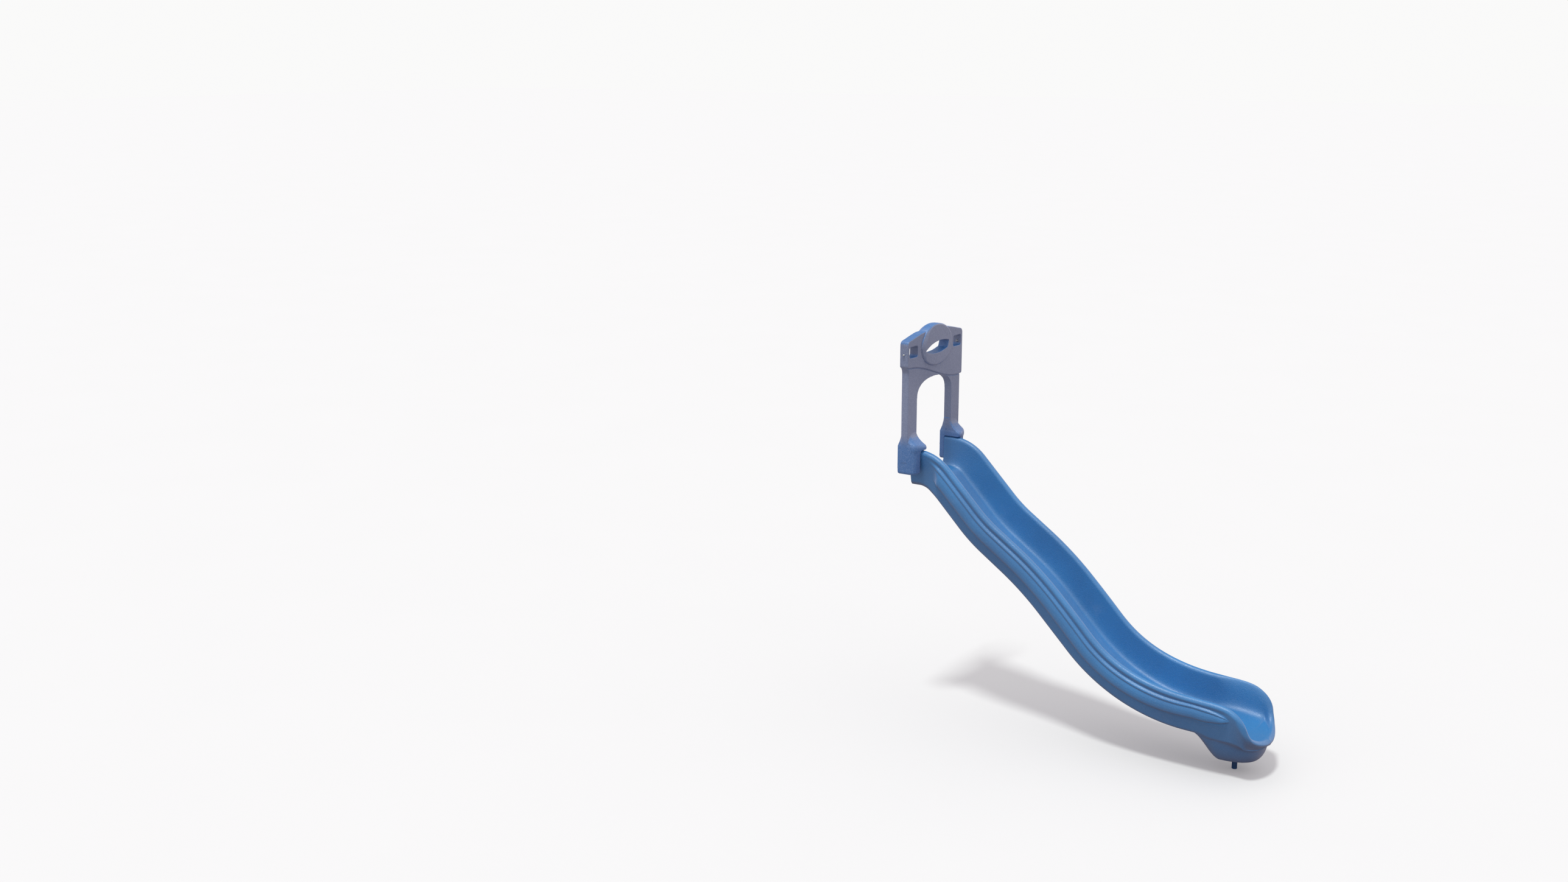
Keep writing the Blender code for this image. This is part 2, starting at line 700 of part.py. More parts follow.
def arch_outline():
    """The opening: straight sides and a flattened arch, running on below the legs."""
    outline = [(ARCH_HALF_WIDTH, LEG_BOTTOM_Z - 0.05), (ARCH_HALF_WIDTH, ARCH_SPRING_Z)]
    rise = ARCH_TOP_Z - ARCH_SPRING_Z
    steps = 14
    for i in range(1, steps):
        a = pi * i / steps
        y = ARCH_HALF_WIDTH * abs(cos(a)) ** (2 / ARCH_ROUNDNESS) * (1 if cos(a) >= 0 else -1)
        outline.append((y, ARCH_SPRING_Z + rise * sin(a) ** (2 / ARCH_ROUNDNESS)))
    outline += [(-ARCH_HALF_WIDTH, ARCH_SPRING_Z), (-ARCH_HALF_WIDTH, LEG_BOTTOM_Z - 0.05)]
    return outline


def band_top(y):
    """Height of the band's top edge, away from the medallion."""
    near, far = BAND_TOP_Y
    return mix(*BAND_TOP_Z, smooth((abs(y) - near) / (far - near)))


def band_foot(y):
    """Height of the step under the band: an S-curve, higher on the -Y side."""
    share = (y + 0.02) / (BAND_OUTER_Y - 0.03)
    return BAND_STEP_Z - BAND_STEP_SWING * sin(max(-1.0, min(1.0, share)) * pi / 2)


def top_edge(steps=9):
    """The band's top edge from +Y to -Y, its ends rounded."""
    centre = (BAND_OUTER_Y - BAND_CORNER, band_top(BAND_OUTER_Y) - BAND_CORNER)
    right = arc_points(centre, BAND_CORNER, 0, 80, 3)
    reach = BAND_OUTER_Y - 0.05
    middle = [mix(reach, -reach, i / steps) for i in range(steps + 1)]
    middle = [(y, band_top(y)) for y in middle]
    left = [(-y, z) for y, z in right[::-1]]
    return right + middle + left


def band_outline():
    foot = [mix(-BAND_OUTER_Y, BAND_OUTER_Y, i / 12) for i in range(13)]
    return [(y, band_foot(y)) for y in foot] + top_edge()


def panel_outline():
    """The legs and the panel between them, without the arch."""
    low, high = SHOULDER_Z
    right = [(LEG_OUTER_Y, LEG_BOTTOM_Z + 0.08), (LEG_OUTER_Y, low), (BAND_OUTER_Y, high)]
    left = [(-y, z) for y, z in right[::-1]]
    return right + top_edge() + left


def boot_body(side):
    """A boot as rings stacked up the leg: its block beside the chute, flaring into the leg."""
    name = f"boot_{'far' if side > 0 else 'near'}"
    inner = WEB_INNER_Y
    levels = (
        (LEG_BOTTOM_Z, BOOT_BACK_X + 0.008, BOOT_FRONT_X - 0.012, 0.008),
        (LEG_BOTTOM_Z + 0.012, BOOT_BACK_X, BOOT_FRONT_X - 0.003, 0.002),
        (LEG_BOTTOM_Z + 0.08, BOOT_BACK_X, BOOT_FRONT_X, 0.0),
        (2.030, BOOT_BACK_X, BOOT_FRONT_X, 0.0),
        (2.052, BOOT_BACK_X, mix(BOOT_FRONT_X, NOSE_X, 0.75), 0.0),
        (2.068, BOOT_BACK_X, NOSE_X, 0.0),
        (2.086, BOOT_BACK_X, NOSE_X - 0.004, 0.001),
        (BOOT_TOP_Z, BOOT_BACK_X + 0.003, NOSE_X - 0.022, 0.003),
        (BOOT_TOP_Z + 0.018, BOOT_BACK_X + 0.010, 0.070, 0.004),
        (BOOT_TOP_Z + 0.046, HOOD_BACK_X - 0.004, 0.041, 0.006),
        (BOOT_TOP_Z + 0.085, HOOD_BACK_X + 0.002, HOOD_FRONT_X - 0.002, 0.010),
    )
    loops = []
    for z, x_back, x_front, draw in levels:
        outer = LEG_OUTER_Y - 0.002 - draw
        low = inner + draw
        # The nose reaches forward over the rail, and the block beside it stays back
        block_front = min(x_front, BOOT_FRONT_X + 0.3 * max(0.0, x_front - BOOT_FRONT_X))
        ring = [
            (x_back, low),
            (x_front - 0.010, low),
            (x_front, low + 0.010),
            (x_front, 0.288),
            (mix(x_front, block_front, 0.6), 0.318),
            (block_front - 0.002, outer - 0.032),
            (block_front - 0.013, outer - 0.011),
            (block_front - 0.036, outer),
            (x_back, outer),
        ]
        loops.append([(x, side * y, z) for x, y in ring])
    return object_from(name, loops_to_bmesh(loops), "hood_blue")


def chute_slot(side):
    """The room that a boot leaves for the chute's side wall and rail."""
    low, high = sorted((side * (WEB_INNER_Y - 0.05), side * BOOT_INNER_Y))
    centre = Vector(((WEB_FRONT_X + 0.30) / 2, (low + high) / 2, (1.70 + NOSE_BOTTOM_Z) / 2))
    size = (0.30 - WEB_FRONT_X, high - low, NOSE_BOTTOM_Z - 1.70)
    return box_object(f"chute_slot_{'far' if side > 0 else 'near'}", centre, size)


def make_hood():
    hood = prism("entry_hood", panel_outline(), HOOD_BACK_X, HOOD_FRONT_X, "hood_blue", 0.006)
    band = prism("band", band_outline(), HOOD_BACK_X - BAND_RAISE, HOOD_FRONT_X + BAND_RAISE,
                 "hood_blue", 0.004)
    oval = ellipse(MEDALLION_Z, MEDALLION_HALF_WIDTH, MEDALLION_HALF_HEIGHT, 36)
    disc = stack("medallion", oval, MEDALLION_PROFILE, "hood_blue")
    boolean(hood, band, "UNION")
    boolean(hood, disc, "UNION")
    for cutter in hood_openings():
        boolean(hood, cutter, "DIFFERENCE")
    for side in (1, -1):
        boolean(hood, boot_body(side), "UNION")
        boolean(hood, chute_slot(side), "DIFFERENCE")
    for side in (1, -1):
        for z in HOOD_BOLT_Z:
            start = Vector((BOOT_BACK_X - 0.02, side * HOOD_BOLT_Y, z))
            boolean(hood, rod(f"web_bore_{side}_{z}", start, Vector((1, 0, 0)), BORE_RADIUS, 0.08),
                    "DIFFERENCE")
        start = Vector((POST_BOLT_X, side * (WINDOW_Y[1] - 0.03), POST_BOLT_Z))
        boolean(hood, rod(f"post_bore_{side}", start, Vector((0, side, 0)), BORE_RADIUS, 0.08),
                "DIFFERENCE")
    return hood


def hood_openings():
    """Cutters for the arch, the medallion's eye and the two hand-hold windows."""
    back, front = HOOD_BACK_X - 0.06, HOOD_FRONT_X + 0.06
    cutters = [
        prism("arch_opening", arch_outline(), back, front, "hood_blue"),
        prism("eye_opening", eye_outline(), back, front, "hood_blue"),
    ]
    for side, label in ((1, "far"), (-1, "near")):
        low, high = sorted((side * WINDOW_Y[0], side * WINDOW_Y[1]))
        outline = rounded_box(low, high, WINDOW_Z[0], WINDOW_Z[1], WINDOW_RADIUS)
        cutters.append(prism(f"window_{label}", outline, back, front, "hood_blue"))
    return cutters


# ---- Steel support and fasteners ----------------------------------------------------------------


def box_object(name, centre, size):
    bm = bmesh.new()
    bmesh.ops.create_cube(bm, size=1.0)
    bmesh.ops.scale(bm, vec=size, verts=bm.verts)
    bmesh.ops.translate(bm, vec=centre, verts=bm.verts)
    return object_from(name, bm, "steel")


def square_to(axis):
    """Two directions square to an axis and to each other."""
    first = axis.orthogonal().normalized()
    return first, axis.cross(first)


def turned_loops(origin, axis, steps):
    """Rings round an axis, each given as (distance along it, radius, whether it is a hexagon)."""
    first, second = square_to(axis)
    loops = []
    for along, radius, hexagon in steps:
        loop = []
        for i in range(ROUND_SEGMENTS):
            angle = 2 * pi * i / ROUND_SEGMENTS
            reach = radius
            if hexagon and i % 2:
                reach = radius * cos(pi / 6)
            direction = first * cos(angle) + second * sin(angle)
            loop.append(origin + axis * along + direction * reach)
        loops.append(loop)
    return loops


def rod(name, start, axis, radius, length):
    loops = turned_loops(start, axis, ((0, radius, False), (length, radius, False)))
    return object_from(name, loops_to_bmesh(loops), "steel")


def bolt(name, seat, axis, length):
    """A button-head socket bolt. The head's underside is on the seat, and axis leads to its tip."""
    head = HEAD_HEIGHT
    steps = (
        (-head + SOCKET_DEPTH, SOCKET_RADIUS, True),
        (-head, SOCKET_RADIUS, True),
        (-head, HEAD_RADIUS * 0.62, False),
        (-head * 0.62, HEAD_RADIUS * 0.90, False),
        (-head * 0.20, HEAD_RADIUS, False),
        (0, HEAD_RADIUS, False),
        (0, BOLT_RADIUS, False),
        (length - 0.001, BOLT_RADIUS, False),
        (length, BOLT_RADIUS - 0.001, False),
    )
    return object_from(name, loops_to_bmesh(turned_loops(seat, axis, steps)), "steel")


def washer(name, seat, axis):
    """A flat washer whose face towards the work is on the seat."""
    inner = BOLT_RADIUS + GAP
    steps = (
        (0, inner, False),
        (-WASHER_THICKNESS, inner, False),
        (-WASHER_THICKNESS, WASHER_RADIUS, False),
        (0, WASHER_RADIUS, False),
    )
    loops = turned_loops(seat, axis, steps)
    return object_from(name, loops_to_bmesh(loops, closed_tube=True), "steel")


def insert(name, mouth, axis):
    """A moulded-in threaded insert with a blind hole. Its axis points out of the mouth."""
    steps = (
        (-INSERT_BORE_DEPTH, INSERT_BORE_RADIUS * 0.55, False),
        (-INSERT_BORE_DEPTH + 0.002, INSERT_BORE_RADIUS, False),
        (-0.0008, INSERT_BORE_RADIUS, False),
        (0, INSERT_BORE_RADIUS + 0.0006, False),
        (0, INSERT_RADIUS, False),
        (-0.010, INSERT_RADIUS, False),
        (-0.0115, INSERT_RADIUS - 0.0014, False),
        (-0.0135, INSERT_RADIUS - 0.0014, False),
        (-0.015, INSERT_RADIUS, False),
        (-INSERT_LENGTH, INSERT_RADIUS, False),
    )
    return object_from(name, loops_to_bmesh(turned_loops(mouth, axis, steps)), "brass")


def plate_corners():
    """The four bolt places of the support plate, as (number, x, y)."""
    dx, dy = PLATE_BOLT
    places = ((dx, -dy), (dx, dy), (-dx, -dy), (-dx, dy))
    return [(i + 1, SUPPORT_X + x, y) for i, (x, y) in enumerate(places)]


def insert_places():
    """Mouth and outward axis of every threaded insert in the chute."""
    places = []
    roof = PLATE_BOTTOM_Z + PLATE_THICKNESS + GAP
    for _, x, y in plate_corners():
        places.append((Vector((x, y, roof + GAP)), Vector((0, 0, -1))))
    face = ENTRY_X + GAP
    for side in (-1, 1):
        for y in DECK_INSERT_Y:
            places.append((Vector((face, side * y, DECK_INSERT_Z)), Vector((-1, 0, 0))))
    for side in (-1, 1):
        for z in HOOD_BOLT_Z:
            places.append((Vector((face, side * HOOD_BOLT_Y, z)), Vector((-1, 0, 0))))
    return places


def make_inserts():
    names = [f"foot_insert_{i}" for i in range(1, 5)]
    names += [f"deck_insert_{i}" for i in range(1, 5)]
    names += [f"hood_insert_{i}" for i in range(1, 5)]
    for name, (mouth, axis) in zip(names, insert_places()):
        insert(name, mouth, axis)


def make_support():
    """The steel stub post, its top plate in the foot's pocket, and the plate's four bolts."""
    top = PLATE_BOTTOM_Z - GAP
    bore = TUBE_RADIUS - TUBE_WALL
    loops = []
    for z, radius in ((0, bore), (0, TUBE_RADIUS), (top, TUBE_RADIUS), (top, bore)):
        loop = []
        for i in range(TUBE_SEGMENTS):
            angle = 2 * pi * i / TUBE_SEGMENTS
            loop.append(Vector((SUPPORT_X + radius * cos(angle), radius * sin(angle), z)))
        loops.append(loop)
    object_from("support_tube", loops_to_bmesh(loops, closed_tube=True), "powder_blue")
    centre = Vector((SUPPORT_X, 0, PLATE_BOTTOM_Z + PLATE_THICKNESS / 2))
    plate = box_object("support_plate", centre, (PLATE_SIZE[0], PLATE_SIZE[1], PLATE_THICKNESS))
    plate.data.materials.clear()
    plate.data.materials.append(material("powder_blue"))
    up = Vector((0, 0, 1))
    for number, x, y in plate_corners():
        hole = rod(f"plate_hole_{number}", Vector((x, y, PLATE_BOTTOM_Z - 0.02)), up, BORE_RADIUS, 0.04)
        boolean(plate, hole, "DIFFERENCE")
        seat = Vector((x, y, PLATE_BOTTOM_Z - GAP))
        washer(f"support_washer_{number}", seat, up)
        bolt(f"support_bolt_{number}", seat - up * (WASHER_THICKNESS + GAP), up,
             SUPPORT_BOLT_LENGTH)


def make_hood_bolts():
    """Bolts through the boots' webs into the chute's end face, and from the windows to the posts."""
    forward = Vector((1, 0, 0))
    number = 0
    for side in (-1, 1):
        for z in HOOD_BOLT_Z:
            number += 1
            seat = Vector((BOOT_BACK_X - GAP, side * HOOD_BOLT_Y, z))
            washer(f"hood_washer_{number}", seat, forward)
            bolt(f"hood_bolt_{number}", seat - forward * (WASHER_THICKNESS + GAP), forward,
                 HOOD_BOLT_LENGTH)
        label = "near" if side < 0 else "far"
        outward = Vector((0, side, 0))
        seat = Vector((POST_BOLT_X, side * (WINDOW_Y[1] - GAP), POST_BOLT_Z))
        washer(f"post_washer_{label}", seat, outward)
        head_seat = seat - outward * (WASHER_THICKNESS + GAP)
        bolt(f"post_bolt_{label}", head_seat, outward, POST_BOLT_REACH - abs(head_seat.y))


def main():
    clear_scene()
    make_chute()
    make_hood()
    make_inserts()
    make_support()
    make_hood_bolts()


main()
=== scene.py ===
"""Wave slide: the visual model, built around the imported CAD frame.

Metres, +Z up, +X the way the slide runs. The origin is on the ground at the footprint's centre.
"""

from functools import lru_cache
from math import cos, pi, radians, sin

import bmesh
import bpy
import numpy as np
from mathutils import Matrix, Vector


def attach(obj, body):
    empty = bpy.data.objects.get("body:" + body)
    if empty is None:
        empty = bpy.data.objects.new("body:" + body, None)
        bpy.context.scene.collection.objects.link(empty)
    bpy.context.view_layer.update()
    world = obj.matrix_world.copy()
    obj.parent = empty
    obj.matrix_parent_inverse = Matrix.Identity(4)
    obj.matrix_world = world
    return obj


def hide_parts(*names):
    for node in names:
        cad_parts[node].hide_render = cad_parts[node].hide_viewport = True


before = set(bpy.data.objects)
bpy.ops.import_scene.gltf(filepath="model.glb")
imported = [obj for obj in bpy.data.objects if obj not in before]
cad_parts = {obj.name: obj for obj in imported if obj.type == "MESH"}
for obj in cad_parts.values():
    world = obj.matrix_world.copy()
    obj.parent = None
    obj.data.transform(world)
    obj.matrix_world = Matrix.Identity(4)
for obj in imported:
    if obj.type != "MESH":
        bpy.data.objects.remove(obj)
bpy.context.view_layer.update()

# ---- Driving dimensions, as in the CAD

ORIGIN_X = 1.357  # the footprint's centre, from the line between the deck posts
GAP = 0.0005  # clearance between two pieces that touch on the real slide

ENTRY_X = -0.018  # end face of the chute, against the deck's edge
BED_START_Z = 1.827  # bed level at the entry, flush with a 1.829 m deck
# Bed centre line from the entry: (length, 0) for a straight, (radius, turn in degrees) for an arc
BED_RUN = (
    (0.066, 0), (0.163, -45.6), (0.369, 0), (1.241, 11.1), (0.209, 0), (2.296, -10.6), (0.339, 0),
    (1.318, 43.2), (0.450, 0),
)

RAIL_HALF_WIDTH = 0.270  # from the centre line to the rail's core
RAIL_RADIUS = 0.027
CREST_AT_ENTRY = 0.2226  # rail top above the bed, square to it
CREST_AT_EXIT = 0.2315
CREST_FALL = 0.006  # the rails start to come down before the exit's sweep
CREST_FALL_S = 2.650
CREST_SAG = 0.009  # and are a little lower through the last bend
CREST_SAG_S = (1.50, 2.60)
BED_HALF_WIDTH = 0.190  # flat part of the bed
BED_THICKNESS = 0.048
FILLET_REACH = 0.049  # pull of the fillet between the bed and the wall
ENTRY_THICKNESS = 0.018  # the body is this much deeper at the entry
ENTRY_THINS_S = (0.10, 0.30)  # and thins to the rest of the chute between these
BODY_HALF_WIDTH = 0.251  # lower body at its corner
CORNER_DEPTH = 0.245  # of that corner, below the rail top

LEAF_TOP_T = 0.26  # leaf-shaped bulge on the outer side, as shares of the side's height
LEAF_FOOT_T = 0.745
LEAF_START_S = 0.125  # along the bed centre line
LEAF_END_S = 3.128
LEAF_FADE = 0.07
# The leaf's upper and lower edges along the bed: (distance, share of the side's height)
LEAF_UPPER = (
    (0.0, 0.26), (2.50, 0.26), (2.70, 0.235), (2.84, 0.195), (2.956, 0.215), (3.07, 0.285),
    (3.115, 0.330), (3.20, 0.30), (3.32, 0.26), (3.7, 0.26),
)
LEAF_LOWER = (
    (0.0, 0.745), (2.40, 0.745), (2.60, 0.728), (2.72, 0.705), (2.856, 0.665), (2.968, 0.598),
    (3.05, 0.535), (3.10, 0.440), (3.115, 0.395), (3.20, 0.52), (3.32, 0.745), (3.7, 0.745),
)
# How far the leaf stands out, down the outer side's height: a groove under the rail, a raised
# band, a shallow valley, the broad bulge, a sharp undercut and a fine bead
LEAF_SECTION = (
    (0.0, 0.0), (0.10, -0.0010), (0.19, -0.0045), (0.225, -0.0035), (0.26, 0.0030),
    (0.295, 0.0115), (0.325, 0.0150), (0.35, 0.0154), (0.385, 0.0134), (0.41, 0.0148),
    (0.46, 0.0205), (0.52, 0.0255), (0.60, 0.0290), (0.66, 0.0295), (0.70, 0.0282),
    (0.722, 0.0245), (0.733, 0.0165), (0.738, 0.0070), (0.744, -0.0010), (0.752, -0.0020),
    (0.765, 0.0012), (0.78, 0.0008), (0.82, 0.0), (1.0, 0.0),
)
SIDE_KEEPS = 0.86  # below this share of the height the side doesn't follow the leaf
LEAF_SLANT = 0.12  # the leaf's start leans forward towards its foot by this much
LEAF_RISE = 0.045  # length over which the leaf comes out of the side at its start
LEAF_THINS = 0.6  # power of the leaf's width that its thickness follows to the tip
# The lower lines, from the corner to the centre: (half width, depth under the bed) along the
# chute, and (half width, height as a share from the foot's bottom up to the ridge) on the foot
LOWER_LINES = (
    ((0.247, 0.034), (0.234, 0.95)),
    ((0.236, 0.045), (0.216, 0.60)),
    ((0.212, BED_THICKNESS), (0.192, 0.26)),
    ((0.180, BED_THICKNESS), (0.172, 0.08)),
    ((0.145, BED_THICKNESS), (0.148, 0.0)),
    ((0.070, BED_THICKNESS), (0.070, 0.0)),
)
# Where each lower line ends on the centre line in front: (x, height share)
LOWER_TIPS = (
    (2.743, 0.93), (2.736, 0.60), (2.720, 0.26), (2.699, 0.08), (2.674, 0.0), (2.600, 0.0),
)

EXIT_X = 2.430  # where the rails begin to sweep down to the lip
LIP_X = 2.755  # core of the rolled lip at the centre line
LIP_Z = 0.2515
# The rail's core down the sweep: (forward of EXIT_X, in from the rail's half width, down)
RIM_SWEEP = (
    (0, 0, 0), (0.068, 0.0005, 0.007), (0.125, 0.002, 0.021), (0.170, 0.003, 0.046),
    (0.202, 0.004, 0.074), (0.224, 0.005, 0.105), (0.238, 0.008, 0.140), (0.248, 0.017, 0.173),
    (0.259, 0.035, 0.200),
)
# And across the lip: (back from LIP_X, half width, above LIP_Z)
RIM_LIP = (
    (0.052, 0.208, 0.057), (0.030, 0.160, 0.032), (0.012, 0.105, 0.014), (0.003, 0.052, 0.003),
    (0, 0, 0),
)
LIP_ANGLES = (78.0, -60.0)  # the lip's round starts and ends here, from its outermost side
BED_DIP_X = 2.450  # the bed curves down from here to the lip
BED_DIP_POWER = 1.7  # how late it does so
BED_UNDER_LIP = 0.0065  # the bed's end, above the start of the lip's round
BED_INSET = (0.080, 0.030)  # bed edge inside the rail's core: at the sweep's start, at the lip
RIDGE_OFFSET = (-0.026, -0.008)  # the ridge outside the rail's core: at the sweep's start, in front
RIDGE_SHIFTS = (0.35, 0.80)  # shares of the way round between which it goes over to the second
RIDGE_ROUNDS = 60  # of easing
RIDGE_SETTLES = 0.18  # share of the way round in which the ridge takes its own height
GROOVE_DEPTH = 0.010  # between the lip and the ridge
WALL_FULL = 0.12  # height at which the exit's wall has the same section as the chute's
EXIT_LENGTH = 0.620  # along the rail, from the sweep's start to the centre line

FOOT_REAR_X = 2.310  # moulded foot under the exit
FOOT_FULL_X = 2.480
FOOT_BOTTOM_Z = 0.100
FOOT_ROUNDNESS = 0.80  # 1 would be an ellipse in plan, and less is squarer
FOOT_REAR_POWER = 1.12  # shape of its rear slope
RIDGE_Z = 0.279  # parting ridge round the exit
RIDGE_FRONT_Z = 0.212

HOOD_FRONT_X = 0.026
HOOD_BACK_X = -0.034
BAND_RAISE = 0.005  # the top band stands proud of the legs
LEG_OUTER_Y = 0.390
BAND_OUTER_Y = 0.410
BAND_TOP_Z = (2.926, 2.884)  # its top edge beside the medallion, and at its ends
BAND_TOP_Y = (0.16, 0.42)  # it falls from the one to the other between these
BAND_CORNER = 0.022
BAND_STEP_Z = 2.606  # the step under the band, at its middle
BAND_STEP_SWING = 0.076  # up to the -Y side and down to the +Y side
SHOULDER_Z = (2.655, 2.695)  # the legs widen to the band between these
LINE_DEPTH = 0.0050  # of the grooves under the band and beside the medallion
LINE_WIDTH = 0.0080
ARCH_HALF_WIDTH = 0.258
ARCH_SPRING_Z = 2.440
ARCH_TOP_Z = 2.570
ARCH_ROUNDNESS = 2.3
LEG_BOTTOM_Z = 1.871
CUT_REACH = 0.06  # how far the cutters of the openings run past the hood's faces
MEDALLION_Z = 2.8125
MEDALLION_HALF_WIDTH = 0.230
MEDALLION_HALF_HEIGHT = 0.1575
MEDALLION_SOFT = 0.050  # how far its soft side is drawn in at the front
# The medallion's edge, from the back face to the front: (x, how far it is drawn in there)
MEDALLION_PROFILE = (
    (-0.041, 0.024), (-0.037, 0.010), (-0.024, 0.002), (-0.010, 0.0),
    (0.036, 0.0), (0.042, 0.003), (0.045, 0.010),
)
# The eye through the medallion: its pointed end, and its top and bottom edges to the blunt end
EYE_TOP = ((-0.168, 2.780), (-0.085, 2.817), (0.010, 2.836), (0.100, 2.837), (0.176, 2.824))
EYE_FOOT = ((0.157, 2.771), (0.060, 2.751), (-0.060, 2.749), (-0.130, 2.762), (-0.168, 2.780))
WINDOW_Y = (0.266, 0.386)
WINDOW_Z = (2.755, 2.837)
WINDOW_RADIUS = 0.016

BOOT_BACK_X = -0.060
BOOT_FRONT_X = 0.088
BOOT_INNER_Y = 0.3005  # clears the rail's outer side
WEB_FRONT_X = ENTRY_X - GAP
WEB_INNER_Y = 0.245
NOSE_X = 0.113
NOSE_BOTTOM_Z = BED_START_Z + CREST_AT_ENTRY + 0.003
# Up a boot: (height, x of its back, x of its front, how far it is drawn in)
BOOT_LEVELS = (
    (1.871, -0.052, 0.074, 0.009), (1.877, -0.058, 0.082, 0.004), (1.887, -0.060, 0.086, 0.001),
    (1.951, -0.060, 0.088, 0.0), (2.024, -0.060, 0.088, 0.0), (2.040, -0.060, 0.09175, 0.0),
    (2.052, -0.060, 0.1055, 0.0), (2.060, -0.060, 0.11175, 0.0), (2.070, -0.060, NOSE_X, 0.0),
    (2.080, -0.060, 0.111, 0.0), (2.090, -0.060, 0.104, 0.001), (2.098, -0.057, 0.091, 0.003),
    (2.106, -0.054, 0.080, 0.003), (2.116, -0.050, 0.067, 0.004), (2.130, -0.044, 0.052, 0.005),
    (2.148, -0.040, 0.038, 0.006), (2.168, -0.035, 0.029, 0.008), (2.193, -0.032, 0.024, 0.010),
)
BLOCK_SHARE = 0.3  # of the nose's reach that a boot's outer part has too

TUBE_RADIUS = 0.019
TUBE_WALL = 0.0026
SUPPORT_X = 2.530
PLATE_SIZE = (0.100, 0.160)  # along X and Y
PLATE_THICKNESS = 0.006
PLATE_BOTTOM_Z = 0.1205
PLATE_BOLT = (0.034, 0.060)  # bolt offsets from the plate's centre
POCKET_MARGIN = 0.004

BOLT_RADIUS = 0.005  # M10 shank
BORE_RADIUS = 0.0062
BORE_LENGTH = 0.08  # of its cutter, through and past the hood's wall
HEAD_RADIUS = 0.0092
HEAD_HEIGHT = 0.0052
SOCKET_RADIUS = 0.0032
SOCKET_DEPTH = 0.0030
WASHER_RADIUS = 0.0105
WASHER_THICKNESS = 0.0018
INSERT_RADIUS = 0.0080
INSERT_LENGTH = 0.025
SUPPORT_BOLT_LENGTH = 0.026  # under the head
HOOD_BOLT_LENGTH = 0.060
THREAD_START = 0.008  # from the head's underside
THREAD_PITCH = 0.0015
THREAD_DEPTH = 0.0007
BREAK = 0.0003  # a fine part's broken edge
ROUND_SEGMENTS = 12  # of a bore
FINE_SEGMENTS = 48  # of a bolt or washer
TUBE_SEGMENTS = 96

DECK_INSERT_Y = (0.075, 0.195)
DECK_INSERT_Z = BED_START_Z - 0.024
HOOD_BOLT_Y = 0.2655
HOOD_BOLT_Z = (1.893, 1.982)
POST_BOLT_X = -0.004
POST_BOLT_Z = 2.781
POST_BOLT_REACH = 0.424  # |Y| of the shank's tip, just inside the post's wall

# ---- Mesh density

STATION_STEP = 0.012  # between rings along the bed
EXIT_STEPS = 96  # rings that fan round the exit
EXIT_FIRST = 2  # the first of them clear of the last ring square to the bed
BED_STEPS = 7
FILLET_STEPS = 22
RAIL_STEPS = 16
SIDE_MARKS = (0.0, 0.20, 0.26, 0.40, 0.70, 0.76, 0.86, 1.0)
SIDE_COUNTS = (4, 5, 9, 13, 14, 4, 5)  # lines between two marks down the outer side
LOWER_SPLIT = 4  # lines from one lower line to the next
RINGS_BEFORE = 14  # rings before the exit that are evened out with it
ROUNDS_INSIDE = 130
ROUNDS_OUTSIDE = 90
CHUTE_CREASE = 62.0  # degrees, an edge of the chute sharper than this stays sharp
VOXEL = 0.0026  # of the hood's remesh
THINNED = 0.38  # share of its faces that stays

# ---- Light, floor and camera

SUN_FROM = Vector((0.0, -0.34, 1.0)).normalized()
SUN_POWER = 1.62
SUN_COLOUR = (0.97, 1.0, 0.975)
SKY_POWER = 0.731
SKY_COLOUR = (0.98, 0.95, 0.975, 1.0)
BACKDROP = (0.955, 0.953, 0.950, 1.0)
FLOOR_PALE = ((0.658, 0.662, 0.660), (0.662, 0.666, 0.664))
FLOOR_BOUNCE = (0.31, 0.292, 0.30)  # the floor lights the part less than it shows
FLOOR_GLOW = (0.170, 0.162, 0.166)  # keeps the shadow on it pale
CAMERA_AT = (5.1143, -11.2942, 5.0039)
CAMERA_BEARING = 34.757  # degrees, the view turned from +Y towards -X
CAMERA_DOWN = 12.803
CAMERA_LENS = 39.879

UP = Vector((0, 0, 1))
FORWARD = Vector((1, 0, 0))
ACROSS = Vector((0, 1, 0))

# ---- Curves


def smooth(t):
    t = min(1.0, max(0.0, t))
    return t * t * (3 - 2 * t)


def mix(a, b, t):
    return a + (b - a) * t


def bezier(points, t):
    """A cubic curve from its four points."""
    a, b, c, d = points
    u = 1 - t
    return a * u**3 + b * (3 * u * u * t) + c * (3 * u * t * t) + d * t**3


def catmull(points, t):
    """A smooth curve through the points, t running from 0 to 1 over all its spans."""
    spans = len(points) - 1
    i = min(int(t * spans), spans - 1)
    u = t * spans - i
    before = points[i - 1] if i else points[0] * 2 - points[1]
    after = points[i + 2] if i + 2 < len(points) else points[-1] * 2 - points[-2]
    start, end = points[i], points[i + 1]
    return 0.5 * (
        start * 2
        + (end - before) * u
        + (before * 2 - start * 5 + end * 4 - after) * u**2
        + (start * 3 - before - end * 3 + after) * u**3
    )


def even_steps(curve, count):
    """Points of a curve at equal steps along its length, both ends included."""
    fine = np.array([curve(i / 200) for i in range(201)])
    walked = np.append(0.0, np.cumsum(np.linalg.norm(np.diff(fine, axis=0), axis=1)))
    steps = np.linspace(0.0, walked[-1], count)
    return [Vector(point) for point in zip(*(np.interp(steps, walked, c) for c in fine.T))]


